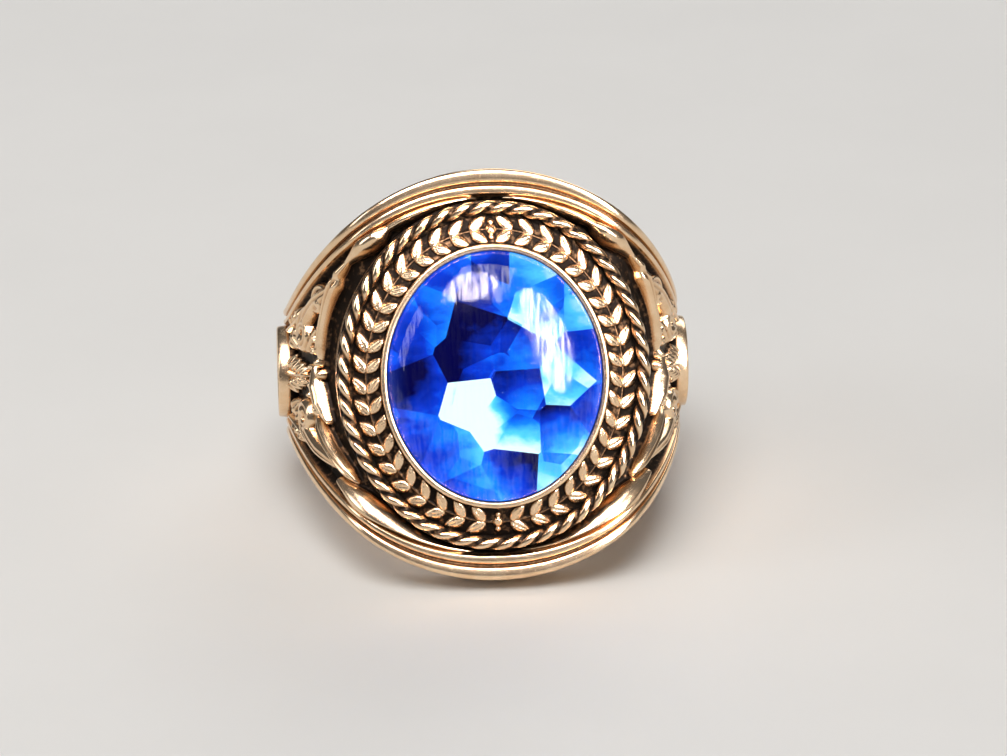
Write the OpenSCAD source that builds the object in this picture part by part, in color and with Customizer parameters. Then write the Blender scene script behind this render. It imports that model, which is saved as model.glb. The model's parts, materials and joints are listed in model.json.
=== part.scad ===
// Class ring: an oval buff-top stone in a bezel, a wreath and rope border, and relief shoulders.
// It lies on its side as it would by itself: the head's lower edge and the back of the shank touch.

/* [Finger hole] */
// Diameter of the finger hole
finger_d = 19.8; // [17:0.1:22.5]
// Bevel along the edges of the band
edge = 0.2; // [0.1:0.05:0.3]

/* [Band] */
// Wall of the band at the sides and the back
band_wall = 1.65; // [1.4:0.05:2.2]
// Width of the band at the back of the finger
back_width = 6; // [4.5:0.1:7.5]
// Height of the head along the finger, over both rails
head_height = 23.2; // [22.8:0.1:25]
// Rise of the head's rails above the finger hole
plate_rise = 2.2; // [1.9:0.05:2.6]
// Half the width of the head's flat rails
flat_half = 7.6; // [6.8:0.1:8.2]
// Width of the band at the sides of the finger
side_width = 7.4; // [6.8:0.1:8.6]

/* [Rails] */
// Width of the outer rail at the head
outer_rail = 0.75; // [0.5:0.05:0.8]
// Width of the groove between the rails
rail_groove = 0.22; // [0.15:0.01:0.3]
// Width of the inner rail at the head
inner_rail = 0.5; // [0.3:0.05:0.6]
// Depth of the relief panel below the rails
panel_depth = 0.65; // [0.4:0.05:0.8]
// Angle from the head at which the relief panel ends
panel_end = 126; // [120:1:135]

/* [Stone] */
// Length of the stone along the finger
stone_length = 14; // [13.4:0.1:14.4]
// Width of the stone
stone_width = 12; // [11.4:0.1:12.4]
// Height of the smooth dome above the girdle
dome_height = 2.3; // [1.6:0.05:2.8]
// Thickness of the girdle
girdle = 0.3; // [0.2:0.05:0.4]
// Depth of the faceted underside below the girdle
pavilion_depth = 2.6; // [2:0.05:2.9]
// Gap between the stone and the metal
stone_gap = 0.03; // [0.02:0.01:0.06]

/* [Bezel and border] */
// Metal between the tip of the stone and the finger hole
floor_wall = 0.8; // [0.6:0.05:1.2]
// Wall of the bezel around the stone
bezel_wall = 0.36; // [0.3:0.02:0.5]
// Rise of the bezel above the stone's girdle
bezel_lip = 0.25; // [0.15:0.05:0.35]
// Width of the sloping border between the bezel and the rope
border_width = 1.65; // [1.4:0.05:1.7]
// Width of the flat land that carries the rope
rope_land = 0.78; // [0.7:0.02:0.9]
// Rise of the rope's land above the rails
land_rise = 0.3; // [0.1:0.05:0.5]
// Number of leaf pairs in each half of the wreath
leaf_pairs = 20; // [10:1:21]
// Length of a leaf
leaf_length = 1.2; // [0.9:0.05:1.3]
// Width of a leaf
leaf_width = 0.6; // [0.3:0.02:0.62]
// Height of the leaves and beads above their ground
leaf_height = 0.26; // [0.15:0.01:0.35]
// Diameter of the rope
rope_d = 0.76; // [0.6:0.02:0.8]
// Number of full twists in the rope
rope_twists = 24; // [20:1:27]

/* [Shoulders] */
// Diameter of the round medallion on each side
medallion_d = 5.4; // [4.6:0.1:5.8]
// Rise of the medallion above the rails
medallion_rise = 0.35; // [0.2:0.05:0.6]
// Number of beads round the medallion
medallion_beads = 18; // [14:1:22]
// Height of the scrolls above the panel
scroll_height = 0.75; // [0.4:0.05:0.9]
// Diameter of the beads between the scrolls
bead_d = 0.62; // [0.4:0.02:0.7]

/* [Hidden] */
sink = 0.15;
band_steps = 96;
oval_steps = 60;

// Radii and heights from the finger's axis
finger_r = finger_d / 2;
side_r = finger_r + band_wall;
plate_y = finger_r + plate_rise;
head_half = head_height / 2;
back_half = back_width / 2;
culet_y = finger_r + floor_wall;
girdle_y = culet_y + pavilion_depth;
dome_y = girdle_y + girdle;
lip_y = dome_y + bezel_lip;
land_y = plate_y + land_rise;
border_y = girdle_y;

// Distance of each oval from the stone's outline
bezel_out = stone_gap + bezel_wall;
border_out = bezel_out + border_width;
drum_out = border_out + rope_land;
rope_at = border_out + rope_land / 2;

// The side profile is a flat top rounded into two shoulder arcs that meet the sides upright.
shoulder_in = side_r - flat_half;
shoulder_r = (shoulder_in * shoulder_in + plate_y * plate_y) / (2 * shoulder_in);
shoulder_c = side_r - shoulder_r;
crease = atan(flat_half / plate_y);
corner = 16;
function arc_r(a) = shoulder_c * sin(a) + sqrt(shoulder_r ^ 2 - (shoulder_c * cos(a)) ^ 2);
function band_r(a) = abs(a) >= 90 ? side_r
    : (pow(cos(a) / plate_y, corner) + pow(1 / arc_r(abs(a)), corner)) ^ (-1 / corner);

// Half the width of the band: one arc from side to side, seen from the front, then a taper to the back of the shank
side_half = side_width / 2;
outline_rise = head_half - side_half;
outline_r = (outline_rise ^ 2 + side_r ^ 2) / (2 * outline_rise);
function band_half(a) = abs(a) >= 90 ? back_half + (side_half - back_half) * (1 - cos(2 * a)) / 2
    : head_half - outline_r + sqrt(outline_r ^ 2 - (band_r(a) * sin(a)) ^ 2);

// The rails narrow towards the sides, and the panel fades out into the plain shank.
rail_end = 0.6;
panel_fade = 16;
function rail_share(a) = 1 - (1 - rail_end) * min(1, abs(a) / 90);
function panel_share(a) = max(0, min(1, (panel_end - abs(a)) / panel_fade));
function panel_r(a) = band_r(a) - panel_depth * panel_share(a);

// The ring leans back on two points: the head's lower inner edge and the shank's lower outer edge.
tilt = atan((head_half - back_half) / (finger_r + side_r));
lift = head_half * cos(tilt) - (finger_r + edge) * sin(tilt);
front_reach = dome_y * cos(tilt) + norm([dome_height * cos(tilt), stone_length / 2 * sin(tilt)]);
back_reach = side_r * cos(tilt) + (back_half - edge) * sin(tilt);
module rest() translate([0, (front_reach - back_reach) / 2, lift]) rotate([-tilt, 0, 0]) children();

// A point of the ring: angle from the head, distance from the finger's axis, height along the finger
function at(a, r, z) = [r * sin(a), -r * cos(a), z];

// A closed skin through rings of points, each ring turning the same way. It joins itself or ends in caps.
module skin(rings, loop = false) {
    n = len(rings[0]);
    m = len(rings);
    sides = [for (i = [0 : m - (loop ? 1 : 2)], j = [0 : n - 1])
        let (k = (i + 1) % m, l = (j + 1) % n, a = i * n + j, b = i * n + l, c = k * n + l, d = k * n + j)
        each [[a, c, b], [a, d, c]]];
    caps = loop ? [] : [[for (j = [0 : n - 1]) j], [for (j = [n - 1 : -1 : 0]) (m - 1) * n + j]];
    polyhedron([for (r = rings) each r], concat(sides, caps), convexity = 8);
}

// The stone's outline is an oval of four arcs. Its end arcs have a radius that is a share of the half width.
end_share = 0.89;
half_w = stone_width / 2;
half_l = stone_length / 2;
end_r = half_w * end_share;
end_c = half_l - end_r;
side_arc = (half_w ^ 2 + end_c ^ 2 - end_r ^ 2) / (2 * (half_w - end_r));
side_c = side_arc - half_w;
side_angle = atan(end_c / side_c);
// A point and its outward direction on the oval at distance d outside the stone, where t runs round once from 0 to 1.
function turn_at(t, d) =
    let (q = floor(t * 4), s = (t * 4) % 1, side = (side_arc + d) * side_angle, end = (end_r + d) * (90 - side_angle),
        run = (q % 2 == 0 ? s : 1 - s) * (side + end),
        phi = run < side ? run / (side_arc + d) : side_angle + (run - side) / (end_r + d))
    q % 2 == 0 ? q * 90 + phi : (q + 1) * 90 - phi;
function oval_point(t, d) =
    let (phi = turn_at(t, d), on_end = abs(sin(phi)) > sin(side_angle))
    on_end ? [(end_r + d) * cos(phi), sign(sin(phi)) * end_c + (end_r + d) * sin(phi)]
        : [-sign(cos(phi)) * side_c + (side_arc + d) * cos(phi), (side_arc + d) * sin(phi)];
function oval(d, y, scale = 1) = [for (i = [0 : oval_steps - 1])
    let (p = scale * oval_point(i / oval_steps, d)) [p.x, -y, p.y]];

// Band with its rails, grooves and sunk panel
groove_depth = 0.28;
function band_ring(a) =
    let (w = band_half(a), r = band_r(a), k = rail_share(a), g = groove_depth * panel_share(a), f = panel_r(a),
        o = w - outer_rail * k, i = o - rail_groove, p = i - inner_rail * k,
        upper = [[r - edge, w], [r, w - edge], [r, o], [r - g, o - rail_groove / 2], [r, i], [r, p], [f, p - (r - f) / 2]],
        lower = [for (q = [len(upper) - 1 : -1 : 0]) [upper[q][0], -upper[q][1]]],
        inner = [[finger_r + edge, -w], [finger_r - edge, -w + 2 * edge], [finger_r - edge, w - 2 * edge], [finger_r + edge, w]])
    [for (q = concat(upper, lower, inner)) at(a, q[0], q[1])];
module band() skin([for (i = [0 : band_steps - 1]) band_ring(-180 + 360 * i / band_steps)], loop = true);

// Head: drum, rope land, sloping border and bezel
lip_round = 0.1;
module drum() skin([oval(drum_out, finger_r - edge), oval(drum_out, land_y), oval(border_out, land_y),
    oval(bezel_out, border_y), oval(bezel_out, lip_y - lip_round), oval(bezel_out - lip_round, lip_y)]);

// Stone: a smooth dome over a girdle, and a faceted underside that ends in a small flat facet
dome_steps = 6;
facets = 12;
upper_facet = [0.7, 0.45];
lower_facet = [0.36, 0.82];
table_facet = [0.12, 1];
function dome_ring(k) = oval(0, dome_y + dome_height * sin(90 * k / dome_steps), cos(90 * k / dome_steps));
function facet_point(share, t) = let (p = share[0] * oval_point(t % 1, 0)) [p.x, -(girdle_y - pavilion_depth * share[1]), p.y];
module stone_solid() {
    dome = [oval(0, girdle_y), for (k = [0 : dome_steps - 1]) dome_ring(k), dome_ring(dome_steps - 0.3)];
    per_facet = oval_steps / facets;
    last = len(dome) - 1;
    upper = len(dome) * oval_steps;
    lower = upper + facets;
    table = lower + facets / 2;
    walls = [for (i = [0 : last - 1], j = [0 : oval_steps - 1])
        let (a = i * oval_steps + j, b = i * oval_steps + (j + 1) % oval_steps)
        each [[a, b + oval_steps, b], [a, a + oval_steps, b + oval_steps]]];
    top = [for (j = [oval_steps - 1 : -1 : 0]) last * oval_steps + j];
    stars = [for (i = [0 : facets - 1], j = [0 : per_facet - 1])
        [i * per_facet + j, (i * per_facet + j + 1) % oval_steps, upper + i]];
    kites = [for (i = [0 : facets - 1]) [(i + 1) % facets * per_facet, upper + (i + 1) % facets, upper + i]];
    mains = [for (i = [0 : facets / 2 - 1]) let (a = upper + 2 * i, c = lower + i, d = lower + (i + 1) % (facets / 2))
        each [[a, a + 1, c], [a + 1, d, c], [a + 1, upper + (2 * i + 2) % facets, d]]];
    culet = [for (i = [0 : facets / 2 - 1]) each [[lower + i, lower + (i + 1) % (facets / 2), table + i],
        [lower + (i + 1) % (facets / 2), table + (i + 1) % (facets / 2), table + i]]];
    base = [for (i = [0 : facets / 2 - 1]) table + i];
    polyhedron(concat([for (r = dome) each r],
        [for (i = [0 : facets - 1]) facet_point(upper_facet, (i + 0.5) / facets)],
        [for (i = [0 : facets / 2 - 1]) facet_point(lower_facet, (i + 0.5) / facets * 2)],
        [for (i = [0 : facets / 2 - 1]) facet_point(table_facet, (i + 0.5) / facets * 2)]),
        concat(walls, [top], stars, kites, mains, culet, [base]), convexity = 4);
}
pocket_room = 0.12;
function pocket_ring(share) = oval(4 * pocket_room, girdle_y - pavilion_depth * share[1] - pocket_room, share[0]);
module stone_pocket() skin([pocket_ring(table_facet), pocket_ring(lower_facet), pocket_ring(upper_facet),
    oval(stone_gap, girdle_y - pocket_room), oval(stone_gap, lip_y + 1)]);

// Rope round the border: a two-strand section that twists as it goes round
rope_sections = 8;
rope_y = land_y + rope_d / 2 - sink;
rope_shape = [[0, 1], [50, 0.68], [130, 0.68], [180, 1], [230, 0.68], [310, 0.68]];
function rope_ring(t) =
    let (p = oval_point(t, rope_at), phi = turn_at(t, rope_at))
    [for (q = rope_shape) let (b = 360 * rope_twists * t - q[0], r = q[1] * rope_d / 2)
        [p.x + r * cos(b) * cos(phi), -(rope_y + r * sin(b)), p.y + r * cos(b) * sin(phi)]];
rope_count = rope_twists * rope_sections;
module rope() skin([for (i = [0 : rope_count - 1]) rope_ring(i / rope_count)], loop = true);

// A pointed leaf on ground given by a function of (along, across, height), with a ridge down its middle
module leaf_skin(base, ridge) polyhedron(concat(base, ridge),
    [[3, 2, 1, 0], [0, 1, 4], [1, 2, 4], [4, 2, 5], [2, 3, 5], [5, 3, 4], [3, 0, 4]], convexity = 2);
leaf_shape = [[0, 0], [0.45, -0.5], [1, 0], [0.45, 0.5]];
leaf_ridge = [[0.22, 0], [0.72, 0]];

// Wreath on the sloping border: two halves of slanted leaf pairs that grow from the bottom and meet at the top
leaf_angle = 38;
leaf_apart = 0.06;
wreath_at = bezel_out + border_width / 2;
function border_point(t, along, across, rise) =
    let (phi = turn_at(t, wreath_at + across), p = oval_point(t, wreath_at + across),
        y = (land_y + border_y) / 2 - across / border_width * (border_y - land_y) + rise)
    [p.x - along * sin(phi), -y, p.y + along * cos(phi)];
function wreath_leaf_point(t, grow, side, q, rise) =
    let (l = q[0] * leaf_length, c = q[1] * leaf_width)
    border_point(t, grow * (l * cos(leaf_angle) - c * sin(leaf_angle)),
        side * (leaf_apart + l * sin(leaf_angle) + c * cos(leaf_angle)), rise);
module wreath_leaf(t, grow, side) {
    base = [for (q = leaf_shape) wreath_leaf_point(t, grow, side, q, -sink)];
    ridge = [for (q = leaf_ridge) wreath_leaf_point(t, grow, side, q, leaf_height)];
    if (grow * side > 0) leaf_skin(base, ridge);
    else leaf_skin([base[0], base[3], base[2], base[1]], ridge);
}
module wreath() {
    for (grow = [-1, 1], i = [0 : leaf_pairs - 1], side = [-1, 1])
        wreath_leaf((0.75 + grow * (i + 0.6) / (leaf_pairs + 0.6) / 2) % 1, grow, side);
    for (t = [0.25, 0.75]) translate(border_point(t, 0, 0, 0)) sphere(d = bead_d, $fn = 24);
}

// Shoulder scrolls. Places are shares of the way from the crease to the side and of the panel's half width.
// Headings are degrees from the head towards the back, bends are whole turns along the scroll.
// Lengths are shares of the way from the crease to the side, widths are shares of the scroll width.
scroll_width = 1.5;
scroll_stations = 11;
//         from head, up the panel, heading, first bend, last bend, length, first width, last width
SCROLLS = [[0.76, 0.74, 155, -0.04, 0.86, 0.6, 0.45, 0.75],
    [0.73, 0.3, 188, 0.05, -0.95, 0.42, 0.4, 0.62],
    [0.2, 0.14, 97, 0, 0.14, 0.5, 0.7, 0.2],
    [0.42, 0.16, 150, -0.05, -0.25, 0.24, 0.55, 0.2],
    [0.4, 0.84, 152, -0.06, 0.04, 0.36, 0.55, 0.15],
    [1.25, 0.62, 6, -0.1, -0.5, 0.3, 0.65, 0.2]];
// Leaves on the middle line, which aren't mirrored
MIDDLES = [[0.71, 0, 180, 0, 0, 0.34, 0.6, 0.2],
    [1.27, 0, 0, 0, 0, 0.32, 0.6, 0.15]];
// Beads: from head, up the panel
BEADS = [[0.3, 0.62], [0.545, 0.62], [0.12, 0.68], [0.235, 0.09], [0.9, 0.93]];
function panel_half(a) = band_half(a) - (outer_rail + inner_rail) * rail_share(a) - rail_groove;
function on_panel(u, z, rise) = let (a = u / side_r * 180 / PI) at(a, panel_r(a) + rise, z);
function scroll_path(u, z, heading, first, last, length) =
    [for (i = 0, p = [u, z], h = heading; i <= scroll_stations;
        i = i + 1, h = h + 360 * (first + (last - first) * i / scroll_stations) / scroll_stations,
        p = p + length / scroll_stations * [cos(h), sin(h)]) [p.x, p.y, h]];
scroll_section = [[0.5, -1], [0.36, 0.6], [0, 1], [-0.36, 0.6], [-0.5, -1]];
module scroll(row) {
    share = crease + row[0] * (90 - crease);
    run = side_r * (90 - crease) * PI / 180;
    path = scroll_path(side_r * share * PI / 180, row[1] * panel_half(share), row[2], row[3], row[4], row[5] * run);
    skin([for (i = [0 : scroll_stations]) let (p = path[i], w = row[6] + (row[7] - row[6]) * i / scroll_stations)
        [for (q = scroll_section) on_panel(p.x - q[0] * scroll_width * w * sin(p[2]),
            p.y + q[0] * scroll_width * w * cos(p[2]), q[1] < 0 ? -sink : q[1] * scroll_height * (0.4 + 0.6 * w))]]);
}
module bead(row) let (a = crease + row[0] * (90 - crease))
    translate(at(a, panel_r(a) + bead_d / 4, row[1] * panel_half(a))) sphere(d = bead_d, $fn = 24);

// Medallion on the side: a dished disc with a beaded rim and a rosette
rim = 0.75;
dish = 0.25;
petals = 8;
petal_length = 1.3;
petal_width = 0.62;
module medallion() translate([side_r - panel_depth - sink, 0, 0]) rotate([0, 90, 0]) {
    top = panel_depth + sink + medallion_rise;
    r = medallion_d / 2;
    rotate_extrude($fn = 72)
        polygon([[0, 0], [r, 0], [r, top - edge / 2], [r - edge / 2, top], [r - rim, top], [r - rim - dish, top - dish],
            [0, top - dish]]);
    for (i = [0 : medallion_beads - 1]) rotate(360 * i / medallion_beads)
        translate([r - rim / 2, 0, top]) sphere(d = rim * 0.66, $fn = 24);
    for (i = [0 : petals - 1]) rotate(360 * i / petals)
        leaf_skin([for (q = [0, 3, 2, 1]) [0.2 + leaf_shape[q][0] * petal_length, leaf_shape[q][1] * petal_width, top - dish - sink]],
            [for (q = leaf_ridge) [0.2 + q[0] * petal_length, 0, top]]);
    translate([0, 0, top - dish]) sphere(d = bead_d, $fn = 24);
}

module shoulder() {
    medallion();
    for (row = MIDDLES) scroll(row);
    for (flip = [0, 1]) mirror([0, 0, flip]) {
        for (row = SCROLLS) scroll(row);
        for (row = BEADS) bead(row);
    }
}

module ring_body() color("goldenrod") rest() difference() {
    union() {
        band();
        drum();
        rope();
        wreath();
        for (side = [0, 1]) mirror([side, 0, 0]) shoulder();
    }
    stone_pocket();
    cylinder(h = 2 * head_height, r = finger_r, center = true, $fn = 120);
}

module stone() color("royalblue") rest() stone_solid();

ring_body();
stone();
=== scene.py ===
"""A man's class ring lying on a pale studio floor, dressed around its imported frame."""
import json
import math
from types import SimpleNamespace

import bmesh
import bpy
import numpy as np
from bpy.props import FloatProperty, FloatVectorProperty, IntProperty, PointerProperty
from mathutils import Matrix, Vector


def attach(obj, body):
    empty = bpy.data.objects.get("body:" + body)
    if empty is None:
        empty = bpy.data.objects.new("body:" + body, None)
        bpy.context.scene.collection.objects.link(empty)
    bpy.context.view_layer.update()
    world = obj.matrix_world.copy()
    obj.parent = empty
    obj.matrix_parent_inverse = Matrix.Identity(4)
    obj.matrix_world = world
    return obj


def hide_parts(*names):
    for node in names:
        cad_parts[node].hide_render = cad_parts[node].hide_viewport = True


bl_info = {
    "name": "Class Ring",
    "version": (1, 0, 0),
    "blender": (4, 5, 0),
    "location": "View3D > Sidebar > Class Ring",
    "description": "Models a gold class ring with an oval blue stone, and the studio that it lies in",
    "category": "Add Mesh",
}

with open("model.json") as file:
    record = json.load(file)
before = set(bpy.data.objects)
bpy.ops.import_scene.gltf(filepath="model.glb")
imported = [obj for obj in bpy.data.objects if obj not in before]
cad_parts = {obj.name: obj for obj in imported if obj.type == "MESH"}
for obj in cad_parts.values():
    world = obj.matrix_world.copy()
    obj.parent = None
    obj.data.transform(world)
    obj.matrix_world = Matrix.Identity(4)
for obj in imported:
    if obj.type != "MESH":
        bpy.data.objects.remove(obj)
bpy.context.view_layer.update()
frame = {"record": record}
BORE = frame["record"]["mounts"][0]
MM = 0.001
TURN = 2 * math.pi
HALF_PI = math.pi / 2
# Points nearer to each other than this are joined, in millimetres
WELD = 0.0005
BLACK, WHITE = (0, 0, 0, 1), (1, 1, 1, 1)


def length(name, description, default):
    """A size in the panel, given here in millimetres."""
    return FloatProperty(name=name, description=description, default=default * MM, precision=5, unit="LENGTH")


def colour(name, description, default):
    """A colour in the panel, in linear values."""
    return FloatVectorProperty(
        name=name, description=description, default=default, size=4, min=0, max=1, subtype="COLOR")


class BandSizes(bpy.types.PropertyGroup):
    """Sizes of the band, its rails and its side medallions."""

    band_wall: length("Band Wall", "Metal at the sides and the back", 1.65)
    back_width: length("Back Width", "Width of the band at the back", 6)
    side_width: length("Side Width", "Width of the band at the sides", 7.4)
    head_height: length("Head Height", "Height of the head over both rails", 23.2)
    plate_rise: length("Plate Rise", "Rise of the head's rails above the finger hole", 2.2)
    flat_half: length("Flat Half", "Half the width of the head's flat rails", 7.6)
    outer_rail: length("Outer Rail", "Width of the outer rail", 0.75)
    groove: length("Groove", "Width of the groove between the rails", 0.22)
    inner_rail: length("Inner Rail", "Width of the inner rail", 0.5)
    panel_depth: length("Panel Depth", "Depth of the shoulder panels", 0.65)
    edge: length("Edge", "Softness of the band's edges", 0.2)
    medallion: length("Medallion", "Diameter of the side medallions", 5.4)
    medallion_rise: length("Medallion Rise", "Rise of the medallions above the rails", 0.35)


class HeadSizes(bpy.types.PropertyGroup):
    """Sizes of the stone, its bezel and the borders round it."""

    stone_length: length("Stone Length", "Length of the stone", 14)
    stone_width: length("Stone Width", "Width of the stone", 12)
    dome: length("Dome", "Height of the stone's dome", 2.3)
    girdle: length("Girdle", "Thickness of the stone's girdle", 0.3)
    girdle_rise: length("Girdle Rise", "Height of the girdle above the finger hole", 3.4)
    bezel_wall: length("Bezel Wall", "Wall of the bezel", 0.36)
    bezel_lip: length("Bezel Lip", "Rise of the bezel above the girdle", 0.25)
    stone_gap: length("Stone Gap", "Gap between the stone and the bezel", 0.03)
    border: length("Border", "Width of the sloping border", 1.65)
    land: length("Land", "Width of the land under the rope", 0.78)
    land_rise: length("Land Rise", "Rise of the land above the rails", 0.3)
    rope: length("Rope", "Diameter of the rope", 0.76)
    rope_twists: IntProperty(name="Rope Twists", description="Full twists in the rope", default=24)
    leaf_pairs: IntProperty(name="Leaf Pairs", description="Leaf pairs in half the wreath", default=20)
    leaf_length: length("Leaf Length", "Length of a leaf of the wreath", 1.2)
    leaf_width: length("Leaf Width", "Width of a leaf of the wreath", 0.68)
    leaf_height: length("Leaf Height", "Height of the wreath above its ground", 0.26)


class RingColours(bpy.types.PropertyGroup):
    """Colours of the metal, the stone and the studio."""

    gold: colour("Gold", "Polished yellow gold", (0.74, 0.47, 0.26, 1))
    worn_gold: colour("Worn Gold", "Gold on rubbed edges", (0.90, 0.68, 0.45, 1))
    patina: colour("Patina", "Blackening in the recesses", (0.012, 0.009, 0.007, 1))
    # Facet tones: the stone's own blues, with painted reflections in which facet takes which; sky and flash
    # are painted glints
    navy: colour("Navy", "Darkest facets", (0.001, 0.001, 0.040, 1))
    royal: colour("Royal", "Most of the facets", (0.002, 0.028, 0.45, 1))
    azure: colour("Azure", "Lighter facets", (0.006, 0.17, 0.92, 1))
    sky: colour("Sky", "Edges of the brightest facets", (0.07, 0.50, 1.0, 1))
    flash: colour("Flash", "Brightest facets", (0.60, 0.94, 1.0, 1))
    # Painted glow in the glass near the girdle, not lit by any lamp
    rim: colour("Rim", "Light in the glass near the girdle", (0.006, 0.030, 0.30, 1))
    floor: colour("Floor", "Studio floor", (0.70, 0.695, 0.685, 1))


def in_mm(group):
    """A property group's values by name, lengths in millimetres."""
    values = {}
    for key in type(group).__annotations__:
        value = getattr(group, key)
        values[key] = value / MM if isinstance(value, float) else value
    return values


def ring_sizes():
    """Every size of the ring, with the radii and heights that follow from them."""
    scene = bpy.context.scene
    ring = SimpleNamespace(**in_mm(scene.ring_band), **in_mm(scene.ring_head))
    ring.finger = BORE["dims"]["r_mm"]
    ring.side = ring.finger + ring.band_wall
    ring.plate = ring.finger + ring.plate_rise
    ring.head_half = ring.head_height / 2
    ring.back_half = ring.back_width / 2
    ring.side_half = ring.side_width / 2
    ring.land_y = ring.plate + ring.land_rise
    ring.girdle_y = ring.finger + ring.girdle_rise
    ring.dome_y = ring.girdle_y + ring.girdle
    ring.lip_y = ring.dome_y + ring.bezel_lip
    ring.bezel_out = ring.stone_gap + ring.bezel_wall
    ring.border_out = ring.bezel_out + ring.border
    ring.drum_out = ring.border_out + ring.land
    ring.rope_at = ring.border_out + ring.land / 2
    return ring


def ring_turn():
    """How the ring's own frame, with the finger along Z and the head towards -Y, is turned to its place."""
    return Vector((0, 0, 1)).rotation_difference(Vector(BORE["axis"])).to_matrix()


def ring_matrix():
    """From the ring's own frame, in millimetres, to its place."""
    return Matrix.Translation(BORE["pos_m"]) @ ring_turn().to_4x4() @ Matrix.Scale(MM, 4)


def smoothstep(low, high, x):
    """Rises smoothly from 0 to 1 between low and high."""
    t = np.clip((x - low) / (high - low), 0, 1)
    return t * t * (3 - 2 * t)


# How sharply the head's flat turns into the shoulders
CORNER = 16
# Width of the rails at the sides and back, as a share of their width at the head
RAIL_END = 0.6
# Where the shoulder panels end, counted from the head, and over what angle they fade out
PANEL_END = math.radians(126)
PANEL_FADE = math.radians(16)


def band_radius(ring, angle):
    """Distance of the rails' top from the finger's axis: a flat top rounded into two shoulder arcs."""
    a = np.abs(angle)
    inset = ring.side - ring.flat_half
    arc = (inset ** 2 + ring.plate ** 2) / (2 * inset)
    centre = ring.side - arc
    reach = centre * np.sin(a) + np.sqrt(arc ** 2 - (centre * np.cos(a)) ** 2)
    top = np.maximum(np.cos(a), 0) / ring.plate
    return np.where(a >= HALF_PI, ring.side, (top ** CORNER + reach ** -float(CORNER)) ** (-1 / CORNER))


def band_half(ring, angle):
    """Half the band's width: one arc seen from the front, then a taper to the back."""
    a = np.abs(angle)
    rise = ring.head_half - ring.side_half
    arc = (rise ** 2 + ring.side ** 2) / (2 * rise)
    front = ring.head_half - arc + np.sqrt(np.maximum(arc ** 2 - (band_radius(ring, a) * np.sin(a)) ** 2, 0))
    back = ring.back_half + (ring.side_half - ring.back_half) * (1 - np.cos(2 * a)) / 2
    return np.where(a >= HALF_PI, back, front)


def rail_share(angle):
    """How wide the rails are at an angle, as a share of their width at the head."""
    return 1 - (1 - RAIL_END) * np.minimum(1, np.abs(angle) / HALF_PI)


def panel_share(angle):
    """How deep the groove and the panel are at an angle, as a share of their depth at the head."""
    return smoothstep(0, 1, (PANEL_END - np.abs(angle)) / PANEL_FADE)


def panel_half(ring, angle):
    """Half the width of the shoulder panel between the rails."""
    return band_half(ring, angle) - (ring.outer_rail + ring.inner_rail) * rail_share(angle) - ring.groove


# Radius of the oval's end arcs, as a share of half its width
END_SHARE = 0.89


class Oval:
    """Outlines at a distance from the stone: ovals of four arcs."""

    def __init__(self, ring):
        self.half_w, self.half_l = ring.stone_width / 2, ring.stone_length / 2
        self.end_r = self.half_w * END_SHARE
        self.end_c = self.half_l - self.end_r
        ends_apart = self.half_w ** 2 + self.end_c ** 2 - self.end_r ** 2
        self.side_r = ends_apart / (2 * (self.half_w - self.end_r))
        self.side_c = self.side_r - self.half_w
        self.meet = math.atan2(self.end_c, self.side_c)

    def around(self, out):
        """Length of a whole outline."""
        return 4 * ((self.side_r + out) * self.meet + (self.end_r + out) * (HALF_PI - self.meet))

    def facing(self, turn, out):
        """Outward direction, as an angle from +X, a share of the way round."""
        turn = np.asarray(turn, float) % 1
        quarter = np.floor(turn * 4)
        share = turn * 4 - quarter
        side = (self.side_r + out) * self.meet
        run = np.where(quarter % 2 == 0, share, 1 - share) * self.around(out) / 4
        phi = np.where(run < side, run / (self.side_r + out), self.meet + (run - side) / (self.end_r + out))
        return np.where(quarter % 2 == 0, quarter * HALF_PI + phi, (quarter + 1) * HALF_PI - phi)

    def point(self, turn, out):
        """Place on the outline, as X and Z."""
        phi = self.facing(turn, out)
        on_end = np.abs(np.sin(phi)) > math.sin(self.meet)
        x = np.where(on_end, (self.end_r + out) * np.cos(phi),
                     (self.side_r + out) * np.cos(phi) - np.sign(np.cos(phi)) * self.side_c)
        z = np.where(on_end, (self.end_r + out) * np.sin(phi) + np.sign(np.sin(phi)) * self.end_c,
                     (self.side_r + out) * np.sin(phi))
        return x, z


def grid(columns, rows, place):
    """A grid moved by place(), which gets the points' shares across and up, and gives X, Y, Z and recess: the
    blackening's share on the gold, the painted glow's share on the dome.
    """
    bm = bmesh.new()
    bmesh.ops.create_grid(bm, x_segments=columns, y_segments=rows, size=0.5)
    layer = bm.verts.layers.float.new("recess")
    across, up = np.meshgrid(np.linspace(0, 1, columns + 1), np.linspace(0, 1, rows + 1))
    x, y, z, recess = (np.broadcast_to(values, across.shape).ravel() for values in place(across, up))
    for vert, point, value in zip(bm.verts, np.stack([x, y, z], axis=-1).tolist(), recess.tolist()):
        vert.co = point
        vert[layer] = value
    return bm


def close_up(bm):
    """Joins a grid's edges that lie on each other, fills what stays open and turns the faces outwards."""
    bmesh.ops.remove_doubles(bm, verts=[v for v in bm.verts if v.is_boundary], dist=WELD)
    rim = [e for e in bm.edges if e.is_boundary]
    if rim:
        bmesh.ops.holes_fill(bm, edges=rim, sides=0)
    bmesh.ops.recalc_face_normals(bm, faces=bm.faces)


def add_piece(name, bm, material, node="ring_body", smooth=True):
    """Turns a bmesh in the ring's own frame into a finished piece that rides on the ring."""
    bm.transform(ring_matrix())
    mesh = bpy.data.meshes.new(name)
    bm.to_mesh(mesh)
    bm.free()
    if smooth:
        mesh.shade_smooth()
    else:
        mesh.shade_flat()
    mesh.materials.append(material)
    piece = bpy.data.objects.new(name, mesh)
    bpy.context.scene.collection.objects.link(piece)
    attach(piece, "root")
    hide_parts(node)


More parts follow.
